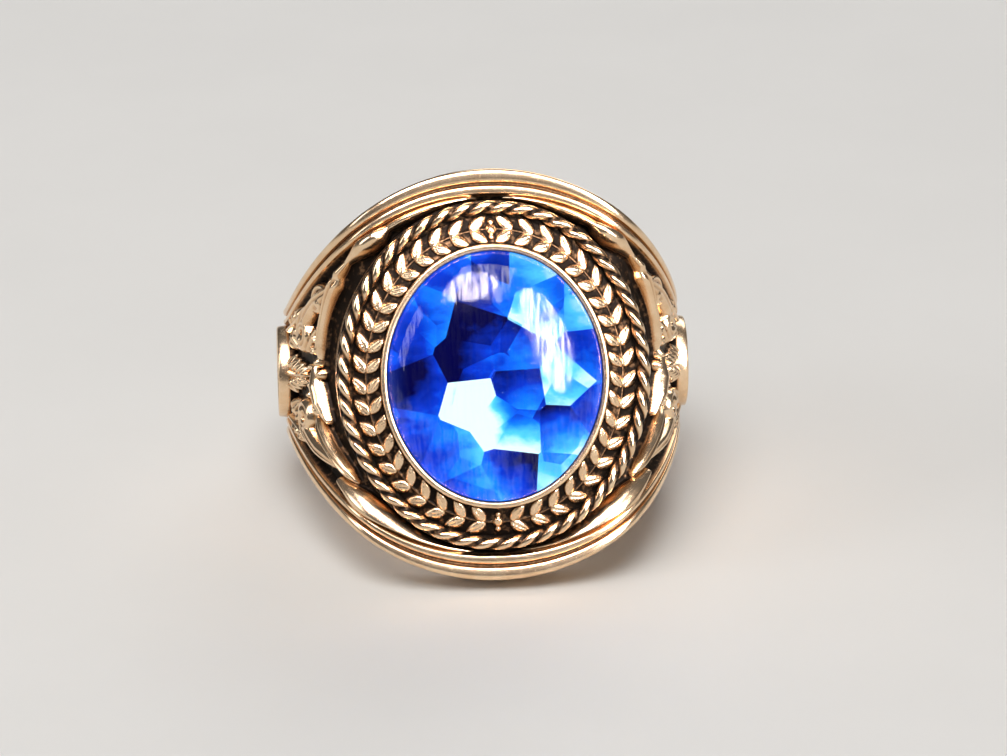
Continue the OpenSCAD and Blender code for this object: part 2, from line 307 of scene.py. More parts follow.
def new_group(name, inputs, outputs):
    """A shader node group with its sockets, given as (name, type, default)."""
    tree = bpy.data.node_groups.new(name, "ShaderNodeTree")
    for title, kind, default in inputs:
        socket = tree.interface.new_socket(title, in_out="INPUT", socket_type=kind)
        socket.default_value = default
    for title, kind in outputs:
        tree.interface.new_socket(title, in_out="OUTPUT", socket_type=kind)
    return tree, tree.nodes.new("NodeGroupInput"), tree.nodes.new("NodeGroupOutput")


def new_material(name):
    """A material, with its node tree and its shader."""
    material = bpy.data.materials.new(name)
    material.use_nodes = True
    return material, material.node_tree, material.node_tree.nodes["Principled BSDF"]


def set_sockets(node, values):
    """Sets a node's own sockets by name."""
    for title, value in values.items():
        node.inputs[title].default_value = value


def feed(tree, value, socket):
    """Links a socket to another, or sets it to a number or colour."""
    if isinstance(value, bpy.types.NodeSocket):
        tree.links.new(value, socket)
    else:
        socket.default_value = value


def math_node(tree, operation, a, b, clamp=False):
    """A Math node. Its inputs are sockets or numbers."""
    node = tree.nodes.new("ShaderNodeMath")
    node.operation, node.use_clamp = operation, clamp
    feed(tree, a, node.inputs[0])
    feed(tree, b, node.inputs[1])
    return node.outputs[0]


def ramp_node(tree, value, low, high, to_low=0.0, to_high=1.0):
    """A smooth Map Range node."""
    node = tree.nodes.new("ShaderNodeMapRange")
    node.interpolation_type = "SMOOTHSTEP"
    for socket, number in zip(node.inputs[1:5], (low, high, to_low, to_high)):
        socket.default_value = number
    tree.links.new(value, node.inputs[0])
    return node.outputs[0]


def mix_node(tree, factor, a, b, blend="MIX"):
    """A colour Mix node."""
    node = tree.nodes.new("ShaderNodeMix")
    node.data_type, node.blend_type = "RGBA", blend
    feed(tree, factor, node.inputs["Factor"])
    feed(tree, a, node.inputs[6])
    feed(tree, b, node.inputs[7])
    return node.outputs[2]


def noise_node(tree, vector, scale, detail=4.0, roughness=0.55):
    """A Noise node's value."""
    node = tree.nodes.new("ShaderNodeTexNoise")
    set_sockets(node, {"Scale": scale, "Detail": detail, "Roughness": roughness})
    tree.links.new(vector, node.inputs["Vector"])
    return node.outputs["Fac"]


def mapped(tree, vector, scale, rotation=(0, 0, 0)):
    """A Mapping node's vector."""
    node = tree.nodes.new("ShaderNodeMapping")
    set_sockets(node, {"Scale": scale, "Rotation": rotation})
    tree.links.new(vector, node.inputs["Vector"])
    return node.outputs["Vector"]


def attribute_node(tree, name):
    """The value of an attribute of the mesh."""
    node = tree.nodes.new("ShaderNodeAttribute")
    node.attribute_name = name
    return node.outputs["Fac"]


def group_node(tree, group):
    """A node group placed in a tree."""
    node = tree.nodes.new("ShaderNodeGroup")
    node.node_tree = group
    return node


def bump_node(tree, height, distance, strength):
    """A Bump node's normal. The distance is in millimetres."""
    node = tree.nodes.new("ShaderNodeBump")
    set_sockets(node, {"Distance": distance * MM, "Strength": strength})
    tree.links.new(height, node.inputs["Height"])
    return node.outputs["Normal"]


def object_mm(tree):
    """Object coordinates in millimetres."""
    coordinates = tree.nodes.new("ShaderNodeTexCoord")
    return mapped(tree, coordinates.outputs["Object"], (1 / MM,) * 3)


# Two sets of hairlines: how each is turned, and how its noise is stretched
HAIRLINES = (((0.3, 0.5, 0.9), (0.5, 16, 3)), ((1.1, 0.2, 2.3), (12, 0.45, 3)))


def scratch_group():
    """Fine hairline scratches in two directions, as a value from 0 to 1."""
    tree, _, out = new_group("Hairline Scratches", [], [("Value", "NodeSocketFloat")])
    place = object_mm(tree)
    lines = []
    for turn, stretch in HAIRLINES:
        value = noise_node(tree, mapped(tree, place, stretch, turn), scale=1.6, detail=5.0, roughness=0.65)
        lines.append(ramp_node(tree, value, low=0.52, high=0.72))
    tree.links.new(math_node(tree, "MAXIMUM", lines[0], lines[1]), out.inputs["Value"])
    return tree


def hairlines(tree):
    """The value of the hairline scratches, placed in a tree."""
    group = bpy.data.node_groups.get("Hairline Scratches") or scratch_group()
    return group_node(tree, group).outputs["Value"]


# Tint of the thin tarnish round the blackened recesses
TARNISH = (0.42, 0.26, 0.15, 1)
# How much rougher hairlines and blackening make the gold
WORN_ROUGHNESS = 0.06
BLACK_ROUGHNESS = 0.34
# Relief of the gold: its pits, how many more there are in the black, and the depth of the hairlines
PIT_SHARE = 0.06
BLACK_PITS = 1.6
LINE_SHARE = 0.14


def antique_gold_group():
    """Polished gold that is rubbed bright on high places and blackened in recesses."""
    tree, given, out = new_group(
        "Antique Gold",
        [("Gold", "NodeSocketColor", WHITE), ("Worn", "NodeSocketColor", WHITE),
         ("Patina", "NodeSocketColor", BLACK), ("Blackening", "NodeSocketFloat", 1.0),
         ("Polish", "NodeSocketFloat", 0.2)],
        [("Color", "NodeSocketColor"), ("Roughness", "NodeSocketFloat"), ("Height", "NodeSocketFloat")])
    place = object_mm(tree)
    recess = attribute_node(tree, "recess")
    grain = noise_node(tree, place, scale=9.0, detail=5.0)
    cloud = noise_node(tree, place, scale=1.1, detail=3.0)
    rubs = noise_node(tree, place, scale=2.3, detail=4.0, roughness=0.65)
    lines = hairlines(tree)
    spread = ramp_node(tree, recess, low=0.0, high=0.5, to_low=0.10, to_high=0.40)
    speckle = math_node(tree, "MULTIPLY", math_node(tree, "SUBTRACT", grain, 0.5), spread)
    dirt = math_node(tree, "MULTIPLY", math_node(tree, "ADD", recess, speckle), given.outputs["Blackening"])
    rubbed = ramp_node(tree, rubs, low=0.5, high=0.72, to_low=1.0, to_high=0.72)
    black = math_node(tree, "MULTIPLY", ramp_node(tree, dirt, low=0.30, high=0.72), rubbed)
    stain = ramp_node(tree, dirt, low=0.06, high=0.42, to_low=0.0, to_high=0.55)
    raised = ramp_node(tree, recess, low=0.0, high=0.18, to_low=1.0, to_high=0.0)
    handled = ramp_node(tree, cloud, low=0.35, high=0.65, to_low=0.55, to_high=1.0)
    bright = math_node(tree, "MULTIPLY", raised, handled)
    metal = mix_node(tree, bright, given.outputs["Gold"], given.outputs["Worn"])
    stained = mix_node(tree, stain, metal, TARNISH, "MULTIPLY")
    tree.links.new(mix_node(tree, black, stained, given.outputs["Patina"]), out.inputs["Color"])
    worn = math_node(tree, "MULTIPLY", math_node(tree, "ADD", lines, grain), WORN_ROUGHNESS)
    rough = math_node(tree, "ADD", given.outputs["Polish"], worn)
    matt = math_node(tree, "MULTIPLY", black, BLACK_ROUGHNESS)
    tree.links.new(math_node(tree, "ADD", rough, matt, clamp=True), out.inputs["Roughness"])
    pitting = math_node(tree, "ADD", math_node(tree, "MULTIPLY", black, BLACK_PITS), PIT_SHARE)
    pits = math_node(tree, "MULTIPLY", grain, pitting)
    cuts = math_node(tree, "MULTIPLY", lines, LINE_SHARE)
    tree.links.new(math_node(tree, "SUBTRACT", pits, cuts), out.inputs["Height"])
    return tree


# Strength of the gold's relief
GOLD_BUMP = 0.6


def gold_material(name, blackening, polish, bump):
    """Gold with its own share of blackening, polish and surface relief in millimetres."""
    colours = bpy.context.scene.ring_colours
    material, tree, shader = new_material(name)
    metal = group_node(tree, bpy.data.node_groups.get("Antique Gold") or antique_gold_group())
    set_sockets(metal, {"Gold": colours.gold, "Worn": colours.worn_gold, "Patina": colours.patina,
                        "Blackening": blackening, "Polish": polish})
    shader.inputs["Metallic"].default_value = 1
    tree.links.new(metal.outputs["Color"], shader.inputs["Base Color"])
    tree.links.new(metal.outputs["Roughness"], shader.inputs["Roughness"])
    tree.links.new(bump_node(tree, metal.outputs["Height"], bump, GOLD_BUMP), shader.inputs["Normal"])
    return material


# Scale of the small facets whose painted reflections show inside the large ones
MOSAIC_SCALE = 0.36
# How much darker the facets are in plain light than in their painted glow
FACET_SHADE = 0.85


def facet_material():
    """Blue facets under the dome in painted glow: each shades from tone to tone, with soft painted clouds of
    light in it.
    """
    colours = bpy.context.scene.ring_colours
    material, tree, shader = new_material("blue_facets")
    place = object_mm(tree)
    # Painted light: soft clouds and haze of light and the small facets' reflections shift each facet's tone
    cloud = noise_node(tree, place, scale=0.33, detail=1.5)
    haze = noise_node(tree, mapped(tree, place, (1, 1, 1.7), (0, 0.6, 0)), scale=0.9, detail=3.0)
    mosaic = tree.nodes.new("ShaderNodeTexVoronoi")
    mosaic.inputs["Scale"].default_value = MOSAIC_SCALE
    tree.links.new(place, mosaic.inputs["Vector"])
    split = tree.nodes.new("ShaderNodeSeparateColor")
    tree.links.new(mosaic.outputs["Color"], split.inputs["Color"])
    shift = math_node(tree, "ADD", ramp_node(tree, cloud, low=0.3, high=0.7, to_low=-0.10, to_high=0.10),
                      ramp_node(tree, haze, low=0.35, high=0.65, to_low=-0.05, to_high=0.05))
    shift = math_node(tree, "ADD", shift,
                      ramp_node(tree, split.outputs["Red"], low=0.1, high=0.9, to_low=-0.12, to_high=0.12))
    ramp = tree.nodes.new("ShaderNodeValToRGB")
    stops = ((0.0, colours.navy), (0.30, colours.royal), (0.56, colours.azure), (0.80, colours.sky),
             (1.0, colours.flash))
    while len(ramp.color_ramp.elements) < len(stops):
        ramp.color_ramp.elements.new(0.5)
    for element, (position, value) in zip(ramp.color_ramp.elements, stops):
        element.position, element.color = position, value
    tree.links.new(math_node(tree, "ADD", attribute_node(tree, "tone"), shift), ramp.inputs["Fac"])
    tree.links.new(mix_node(tree, FACET_SHADE, ramp.outputs["Color"], BLACK), shader.inputs["Base Color"])
    # Painted light: the facets glow with their tone, whatever the lamps do
    tree.links.new(ramp.outputs["Color"], shader.inputs["Emission Color"])
    set_sockets(shader, {"Emission Strength": 1, "Roughness": 0.35, "Specular IOR Level": 0})
    return material


GLASS_TINT = (0.93, 0.96, 1, 1)
# How the rubbed streaks on the dome are stretched: they run along the stone
STREAK_STRETCH = (4.5, 1.5, 0.4)
# Depth of the dome's hairlines in millimetres, and the strength of their relief
SCUFF_DEPTH = 0.004
SCUFF_BUMP = 0.5


def dome_material():
    """Clear glass with rubbed hairlines, for the smooth dome, with a painted blue glow near the girdle."""
    material, tree, shader = new_material("dome_glass")
    set_sockets(shader, {"Base Color": GLASS_TINT, "Roughness": 0.02, "IOR": 1.08, "Transmission Weight": 1,
                         "Coat Roughness": 0.10, "Emission Strength": 1})
    # Painted light: the glass glows blue near the girdle, as far as the recess attribute says
    rim = mix_node(tree, attribute_node(tree, "recess"), BLACK, bpy.context.scene.ring_colours.rim)
    tree.links.new(rim, shader.inputs["Emission Color"])
    upright = mapped(tree, object_mm(tree), (1, 1, 1), ring_turn().inverted().to_euler())
    streaks = noise_node(tree, mapped(tree, upright, STREAK_STRETCH), scale=1.2, detail=5.0, roughness=0.65)
    tree.links.new(ramp_node(tree, streaks, low=0.42, high=0.58, to_low=0.15, to_high=1.0),
                   shader.inputs["Coat Weight"])
    tree.links.new(bump_node(tree, hairlines(tree), SCUFF_DEPTH, SCUFF_BUMP), shader.inputs["Normal"])
    return material


def superellipse(count, power):
    """Places across a rail, from -1 to 1, and the share of its drop at each."""
    q = np.sin(np.linspace(-HALF_PI, HALF_PI, count))
    return q, 1 - (1 - np.abs(q) ** power) ** (1 / power)


# Roundness of the rails, and how far they drop at the ring's edges and beside the groove
RAIL_POWER = 2.4
OUTER_DROP = 0.34
INNER_DROP = 0.13
# What is left of the inner drop at the back, as a share
BACK_DROP = 0.2
GROOVE_DEPTH = 0.28
# Rows of the groove: share of its depth, share of the way across
GROOVE_ROWS = ((0.75, 0.22), (1, 0.5), (0.75, 0.78))
# Rows of the panel's wall: shares of its width at its upper edge and at its foot, and the foot's height
WALL_TOP = 0.3
WALL_FOOT = 0.9
FOOT_RISE = 0.06
# Blackening at the rails' sides, in the groove and on the panel's wall
RAIL_SOIL = 0.25
GROOVE_SOIL = 0.62
WALL_SOIL = 0.6
# Turns of the bore's soft edge, and shares of the panel's floor where a row runs
EDGE_TURNS = (0, 0.4, 0.8, 1.2, HALF_PI)
FLOOR_SHARES = (0.96, 0.7, 0.35)
OUTER_RAIL_ROWS = 13
INNER_RAIL_ROWS = 9
BAND_COLUMNS = 420


def rail_rows(radius, deep, high, low, drops, count):
    """Rows of a rounded rail between two heights: distances from the axis, heights and recess values."""
    rows = []
    for q, share in zip(*superellipse(count, RAIL_POWER)):
        drop = drops[0] if q < 0 else drops[1]
        z = (high + low) / 2 - q * (high - low) / 2
        rows.append((radius - drop * share, z, RAIL_SOIL * share * (q > 0) * deep))
    return rows


def band_rows(ring, angle):
    """Rows of the band's section, from the bore's edge over one half of its face."""
    radius, wide, share = band_radius(ring, angle), band_half(ring, angle), rail_share(angle)
    deep = panel_share(angle)
    flat = 0 * angle
    outer_in = wide - ring.outer_rail * share
    inner_out = outer_in - ring.groove
    inner_in = inner_out - ring.inner_rail * share
    floor = radius - ring.panel_depth * deep
    drop = INNER_DROP * (BACK_DROP + (1 - BACK_DROP) * deep)
    rows = [(flat + ring.finger + ring.edge * (1 - math.cos(t)), wide - ring.edge * (1 - math.sin(t)), flat)
            for t in EDGE_TURNS]
    rows += rail_rows(radius, deep, wide, outer_in, (OUTER_DROP, drop), OUTER_RAIL_ROWS)
    for depth, across in GROOVE_ROWS:
        low = (GROOVE_DEPTH - INNER_DROP) * depth * deep
        rows.append((radius - drop - low, outer_in - ring.groove * across, GROOVE_SOIL * deep))
    rows += rail_rows(radius, deep, inner_out, inner_in, (drop, drop), INNER_RAIL_ROWS)
    wall = ring.panel_depth * deep / 2
    rows.append((radius - drop - WALL_TOP * wall, inner_in - WALL_TOP * wall, WALL_SOIL * deep))
    rows.append((floor + FOOT_RISE * deep, inner_in - WALL_FOOT * wall, deep))
    rows += [(floor, (inner_in - wall) * across, deep) for across in FLOOR_SHARES]
    return rows, floor


def build_band(ring):
    """The whole band: rounded rails, grooves, sunk panels and a softened bore."""
    angle = np.linspace(-math.pi, math.pi, BAND_COLUMNS + 1)
    upper, floor = band_rows(ring, angle)
    rows = upper + [(floor, 0 * angle, panel_share(angle))] + [(r, -z, c) for r, z, c in reversed(upper)]
    rows.append(rows[0])
    radius, z, recess = (np.array([row[i] for row in rows]) for i in range(3))
    bm = grid(BAND_COLUMNS, len(rows) - 1,
              lambda across, up: (radius * np.sin(angle), -radius * np.cos(angle), z, recess))
    close_up(bm)
    return bm


# Points along a shoulder's curves
SHOULDER_POINTS = 2001


class Shoulder:
    """A shoulder panel unrolled: its run from the head's middle along the panel's floor, and its height."""

    def __init__(self, ring):
        self.angle = np.linspace(0, math.pi, SHOULDER_POINTS)
        floor = band_radius(ring, self.angle) - ring.panel_depth * panel_share(self.angle)
        self.x, self.y = floor * np.sin(self.angle), -floor * np.cos(self.angle)
        self.run = np.concatenate([[0], np.cumsum(np.hypot(np.diff(self.x), np.diff(self.y)))])
        self.crease = self.run_at(math.atan2(ring.flat_half, ring.plate))
        self.side = self.run_at(HALF_PI)
        self.half = panel_half(ring, self.angle)
        along_x, along_y = np.gradient(self.x, self.run), np.gradient(self.y, self.run)
        size = np.hypot(along_x, along_y)
        self.out_x, self.out_y = along_y / size, -along_x / size

    def run_at(self, angle):
        """Run along the floor at an angle from the head."""
        return float(np.interp(angle, self.angle, self.run))

    def at(self, values, run):
        """One of the panel's curves at a run."""
        return np.interp(run, self.run, values)

    def run_of(self, x):
        """Run at a distance across from the finger's axis, up to the side."""
        last = int(np.argmax(self.x))
        return np.interp(x, self.x[:last], self.run[:last])

    def points(self, run, z, rise, side):
        """Places at a rise above the panel's floor, on the side -1 or 1."""
        x = self.at(self.x, run) + rise * self.at(self.out_x, run)
        y = self.at(self.y, run) + rise * self.at(self.out_y, run)
        return side * x, y, z

    def share(self, from_head):
        """Run at a share of the way from the head's crease to the middle of the side."""
        return self.crease + from_head * (self.side - self.crease)


# Points along a stroke
STROKE_POINTS = 56
# Width of the flute along a stroke, as a share of its half width
FLUTE_WIDTH = 0.24
# How round a stroke is in section, and how fast its sides rise
STROKE_ROUND = 2.2
STROKE_FULL = 0.6
# How high a stroke starts, as a share of its rise
STROKE_START = 0.7
# Half widths of a leaf's rib from its stem to its tip, and its rise at the tip as a share
RIB_WIDTHS = (0.24, 0.2, 0.06)
RIB_TIP = 0.8
# How far along the rib the last lobe stands, and how much smaller it is than the first
LOBE_REACH = 0.8
LOBE_TAPER = 0.45
# Angle between a lobe and the rib at the stem, and how much it closes towards the tip, in degrees
LOBE_OPENING = (66, 30)
# First and last bend of a lobe, in whole turns, its half widths at its ends, its half width in the middle
# as a share of its length, its rises as shares of the leaf's, and its flute
LOBE_BENDS = (-0.14, -0.02)
LOBE_ENDS = (0.16, 0.10)
LOBE_WIDTH = 0.36
LOBE_RISES = (0.6, 0.95, 0.4)
LOBE_FLUTE = 0.2


class Relief:
    """Heights over a grid of places, raised by one stroke after another."""

    def __init__(self, run, z):
        self.run, self.z = run, z
        self.height = np.zeros_like(run)

    def trace(self, run, z, turn, widths, rises, flute=0.0, skew=0.0):
        """Raises a ridge along a path. Half widths and rises are spread from its start to its end."""
        t = np.linspace(0, 1, len(run))
        width = np.interp(t, np.linspace(0, 1, len(widths)), widths)
        rise = np.interp(t, np.linspace(0, 1, len(rises)), rises)
        reach = width.max()
        near = ((self.run > run.min() - reach) & (self.run < run.max() + reach)
                & (self.z > z.min() - reach) & (self.z < z.max() + reach))
        right, up = self.run[near][:, None] - run, self.z[near][:, None] - z
        gap = right ** 2 + up ** 2
        i = (gap / width ** 2).argmin(axis=1)
        rows = np.arange(len(i))
        q = np.sqrt(gap[rows, i]) / width[i]
        across = (up[rows, i] * np.cos(turn[i]) - right[rows, i] * np.sin(turn[i])) / width[i]
        slope = np.where(across > skew, (across - skew) / (1 - skew), (skew - across) / (1 + skew))
        q = np.maximum(q, np.minimum(slope, 1)) if skew else q
        bump = rise[i] * np.maximum(1 - np.minimum(q, 1) ** STROKE_ROUND, 0) ** STROKE_FULL
        bump *= 1 - flute * np.exp(-(across / FLUTE_WIDTH) ** 2)
        self.height[near] = np.maximum(self.height[near], bump)

    def stroke(self, start, heading, bends, length, widths, rises, flute=0.0):
        """Raises a curved stroke whose bends, in whole turns, change evenly along it."""
        t = np.linspace(0, 1, STROKE_POINTS)
        turn = heading + TURN * (bends[0] * t + (bends[1] - bends[0]) * t * t / 2)
        step = length / (STROKE_POINTS - 1)
        run = start[0] + np.concatenate([[0], np.cumsum(np.cos(turn[:-1]) * step)])
        z = start[1] + np.concatenate([[0], np.cumsum(np.sin(turn[:-1]) * step)])
        self.trace(run, z, turn, widths, rises, flute)
        return run, z, turn

    def bead(self, start, width, rise):
        """Raises a round bead."""
        q = np.hypot(self.run - start[0], self.z - start[1]) / width
        self.height = np.maximum(self.height, rise * np.sqrt(np.maximum(1 - q ** 2, 0)))

    def leaf(self, start, heading, bend, length, width, lobes, rise):
        """Raises a lobed leaf: pairs of curved lobes along a rib that tapers to a tip."""
        run, z, turn = self.stroke(start, heading, (bend, bend), length, RIB_WIDTHS, (rise, rise * RIB_TIP))
        for i in range(lobes):
            t = i / lobes
            at = int(t * LOBE_REACH * (STROKE_POINTS - 1))
            size = width * (1 - LOBE_TAPER * t)
            for side in (-1, 1):
                opening = math.radians(LOBE_OPENING[0] - LOBE_OPENING[1] * t) * side
                self.stroke((run[at], z[at]), turn[at] + opening, [bend * side for bend in LOBE_BENDS], size,
                            (LOBE_ENDS[0], size * LOBE_WIDTH, LOBE_ENDS[1]),
                            [rise * share for share in LOBE_RISES], LOBE_FLUTE)


# Strokes along the oval: turn from, turn to, distances out,
#         half widths, rises, flute, skew of the crest
VINES = ((0.2495, 0.143, (0.15, 0.68),
          (0.15, 0.22, 0.34, 0.48, 0.54, 0.40, 0.22), (0.6, 0.8, 1.05, 1.0, 0.8), 0, -0.3),
         (0.150, 0.106, (0.62, 0.92),
          (0.30, 0.60, 0.68, 0.54, 0.34, 0.20), (0.85, 1.2, 1.15, 0.85, 0.6), 0, 0.1),
         (0.116, 0.086, (0.92, 0.86),
          (0.16, 0.24, 0.34, 0.20), (0.5, 0.65, 0.9, 0.6), 0, 0),
         (0.099, 0.012, (0.84, 0.46),
          (0.14, 0.50, 0.44, 0.38, 0.36, 0.38, 0.36, 0.12), (0.5, 1.0, 0.9, 0.8, 0.8, 0.8, 0.5), 0.25, 0),
         (0.008, -0.042, (0.72, 0.40),
          (0.20, 0.52, 0.58, 0.44, 0.2), (0.6, 0.95, 0.95, 0.6), 0, 0.2),
         (-0.034, -0.102, (0.86, 0.46),
          (0.16, 0.42, 0.46, 0.42, 0.42, 0.36, 0.12), (0.6, 0.9, 0.95, 0.9, 0.8, 0.5), 0.25, 0),
         (-0.094, -0.240, (1.02, 0.30),
          (0.30, 0.72, 0.86, 0.74, 0.50, 0.30, 0.1), (0.8, 1.1, 1.05, 0.8, 0.45), 0, 0.4))
# The tables below give places as shares of the way from the crease to the side and of the panel's half
# width. Headings are degrees from the back towards the top, bends are whole turns, lengths are shares of
# the way from the crease to the side, and half widths and rises are in millimetres.
#          from head, up, heading, first bend, last bend, length, half widths, rise, flute
SCROLLS = ((0.185, 0.76, -20, -0.02, -0.10, 0.30, (0.46, 0.50, 0.52, 0.54), 0.92, 0.15),
           (0.46, 0.76, -6, -0.58, -2.3, 0.50, (0.54, 0.60, 0.52, 0.42, 0.30), 0.88, 0.2),
           (0.25, 0.80, 24, -0.55, -3.0, 0.40, (0.26, 0.42, 0.40, 0.34, 0.24), 0.80, 0.2),
           (0.20, -0.76, 22, 0.0, 0.1, 0.32, (0.34, 0.48, 0.50, 0.52), 0.88, 0.15),
           (0.46, -0.76, 6, 0.58, 2.3, 0.50, (0.52, 0.60, 0.52, 0.42, 0.30), 0.88, 0.2),
           (1.24, 0.44, 2, 0.1, 1.7, 0.30, (0.55, 0.60, 0.46, 0.30), 0.74, 0.3),
           (1.24, -0.44, -2, -0.1, -1.7, 0.30, (0.55, 0.60, 0.46, 0.30), 0.74, 0.3))
MIDDLES = ((1.22, 0, 0, 0, 0, 0.46, (0.44, 0.70, 0.62, 0.42, 0.14), 0.80, 0.35),
           (1.50, 0.50, -150, 0.1, 0.2, 0.10, (0.10, 0.34, 0.30, 0.10), 0.60, 0.3),
           (1.50, -0.50, 150, -0.1, -0.2, 0.10, (0.10, 0.34, 0.30, 0.10), 0.60, 0.3))
#         from head, up, heading, bend, length, width, lobes, rise
LEAVES = ((0.78, 0.80, 168, -0.04, 0.30, 1.7, 3, 0.76),
          (0.78, -0.80, -168, 0.04, 0.30, 1.7, 3, 0.76),
          (0.80, 0, 180, 0, 0.40, 1.45, 4, 0.84),
          (0.44, 0.30, 128, 0, 0.13, 0.9, 2, 0.7))
# Beads: from head, up, radius
BEADS = ((0.172, 0.79, 0.58), (0.335, 0.27, 0.36), (0.335, 0.14, 0.34), (0.315, 0.02, 0.34),
         (0.37, -0.36, 0.36), (0.41, 0.10, 0.26), (0.42, -0.10, 0.34), (0.44, -0.22, 0.28),
         (0.28, -0.60, 0.34), (0.225, -0.66, 0.28))
BEAD_RISE = 0.75
# The round end of a scroll that bends more than this many turns at its end: its size beside the scroll's
# last half width, and how far it stands above it
EYE_BEND = 1
SCROLL_EYE = 1.7
SCROLL_EYE_RISE = 0.06
RELIEF_COLUMNS = 430
RELIEF_ROWS = 228
# Where the relief starts and ends, as shares of the way from the crease to the side
RELIEF_RUN = (-0.57, 1.66)
# Rise of the relief's ground above the panel's floor, its drop at the edges and its thickness below them
RELIEF_LIFT = 0.02
EDGE_DROP = 0.1
RELIEF_BASE = 0.3
# Width over which the relief fades out beside the rails, and share of its run where it does at its ends
EDGE_FADE = 0.15
END_FADE = 0.05
# Times the relief is smoothed, and times it is smoothed again to find its hollows
SOFTENING = 2
HOLLOW_REACH = 14
# Rises between which the blackening wears off, how much hollows keep it, and what is left everywhere
RUBBED_RISE = (0.04, 0.36)
HOLLOW_SOIL = 3
THIN_SOIL = 0.1
# Shares of the panel's depth between which the blackening sets in
SOILED_DEPTH = (0.1, 1)


def place_of(shoulder, from_head, up):
    """Run and height of a place given as shares."""
    run = shoulder.share(from_head)
    return run, up * float(shoulder.at(shoulder.half, run))


def scroll_relief(ring, shoulder, relief):
    """Raises the vines, scrolls, leaves and beads of a shoulder."""
    span = shoulder.side - shoulder.crease
    oval = Oval(ring)
    for first, last, out, widths, rises, flute, skew in VINES:
        turns, outs = np.linspace(first, last, 2 * STROKE_POINTS), np.linspace(*out, 2 * STROKE_POINTS)
        x, z = oval.point(turns, ring.drum_out + outs)
        run = shoulder.run_of(x)
        relief.trace(run, z, np.arctan2(np.gradient(z), np.gradient(run)), widths, rises, flute, skew)
    for from_head, up, heading, first, last, size, widths, rise, flute in SCROLLS + MIDDLES:
        run, z, _ = relief.stroke(place_of(shoulder, from_head, up), math.radians(heading), (first, last),
                                  size * span, widths, (STROKE_START * rise, rise, rise), flute)
        if abs(last) > EYE_BEND:
            relief.bead((run[-1], z[-1]), SCROLL_EYE * widths[-1], rise + SCROLL_EYE_RISE)
    for from_head, up, heading, bend, size, width, lobes, rise in LEAVES:
        root = place_of(shoulder, from_head, up)
        relief.leaf(root, math.radians(heading), bend, size * span, width, lobes, rise)
    for from_head, up, radius in BEADS:
        relief.bead(place_of(shoulder, from_head, up), radius, BEAD_RISE)


def blurred(values, passes):
    """Values smoothed over their neighbours again and again."""
    for _ in range(passes):
        padded = np.pad(values, 1, mode="edge")
        values = (padded[:-2, 1:-1] + padded[2:, 1:-1] + padded[1:-1, :-2] + padded[1:-1, 2:] + values) / 5
    return values


def build_relief(ring, side):
    """The raised ornament of one shoulder, on its panel's floor."""
    shoulder = Shoulder(ring)
    top_rows = RELIEF_ROWS - 2

    def place(across, up):
        run = shoulder.share(RELIEF_RUN[0] + (RELIEF_RUN[1] - RELIEF_RUN[0]) * across)
        half = shoulder.at(shoulder.half, run)
        high = np.concatenate([np.linspace(1, -1, top_rows), [-1, 1, 1]])[:, None] * np.ones_like(across)
        z = high * half
        relief = Relief(run[:top_rows], z[:top_rows])
        scroll_relief(ring, shoulder, relief)
        relief.height = blurred(relief.height, SOFTENING)
        rise = np.full_like(run, -RELIEF_BASE)
        from_edge = half[:top_rows] - np.abs(z[:top_rows])
        from_end = np.minimum(across[:top_rows], 1 - across[:top_rows])
        fade = smoothstep(0, EDGE_FADE, from_edge) * smoothstep(0, END_FADE, from_end)
        rise[:top_rows] = (relief.height + RELIEF_LIFT) * fade - EDGE_DROP * (1 - fade)
        rise[-1] = rise[0]
        recess = np.ones_like(run)
        hollow = blurred(relief.height, HOLLOW_REACH) - relief.height
        rubbed = smoothstep(*RUBBED_RISE, relief.height)
        recess[:top_rows] = np.clip(1 - rubbed + HOLLOW_SOIL * hollow + THIN_SOIL, 0, 1)
        recess *= smoothstep(*SOILED_DEPTH, np.interp(run, shoulder.run, panel_share(shoulder.angle)))
        x, y, z = shoulder.points(run, z, rise, side)
        return x, y, z, recess

    bm = grid(RELIEF_COLUMNS, RELIEF_ROWS, place)
    close_up(bm)
    return bm


# Width and rise of the medallion's rim, radius and number of its beads, and depth of its dish, in millimetres
MEDALLION_RIM = 0.46
RIM_RISE = 0.08
MEDALLION_BEAD = 0.17
MEDALLION_BEADS = 30
MEDALLION_DISH = 0.24
# Roundness of the rim, and how high a bead stands beside its radius
RIM_ROUND = 2.6
BEAD_STAND = 1.3
# Drop at the rim's foot, and where it comes across the rim, from -1 at its inner edge to 1 at its outer
RIM_FOOT_DROP = 0.25
RIM_FOOT = (0.7, 1)
# Rises between which the dish's blackening wears off, and where across the rim it ends
DISH_BARE = (0.02, 0.15)
RIM_BARE = (0.5, 0.8)
# Two rounds of petals: turn as a share of a petal's step, length, half width, rise
PETAL_ROUNDS = ((0.5, 1.78, 0.29, 0.17), (0, 1.52, 0.34, 0.27))
PETALS = 8
# Where a petal is widest, with more for nearer its tip, how blunt its ends are and how round it is across
PETAL_FULL = 1.15
PETAL_BLUNT = 0.8
BLADE_ROUND = 2.2
# Depth and half width of the crease along a petal
PETAL_CREASE = (0.35, 0.05)
# Radius and rise of the rosette's middle
BOSS = (0.34, 0.36)
MEDALLION_COLUMNS = 300
MEDALLION_ROWS = 84


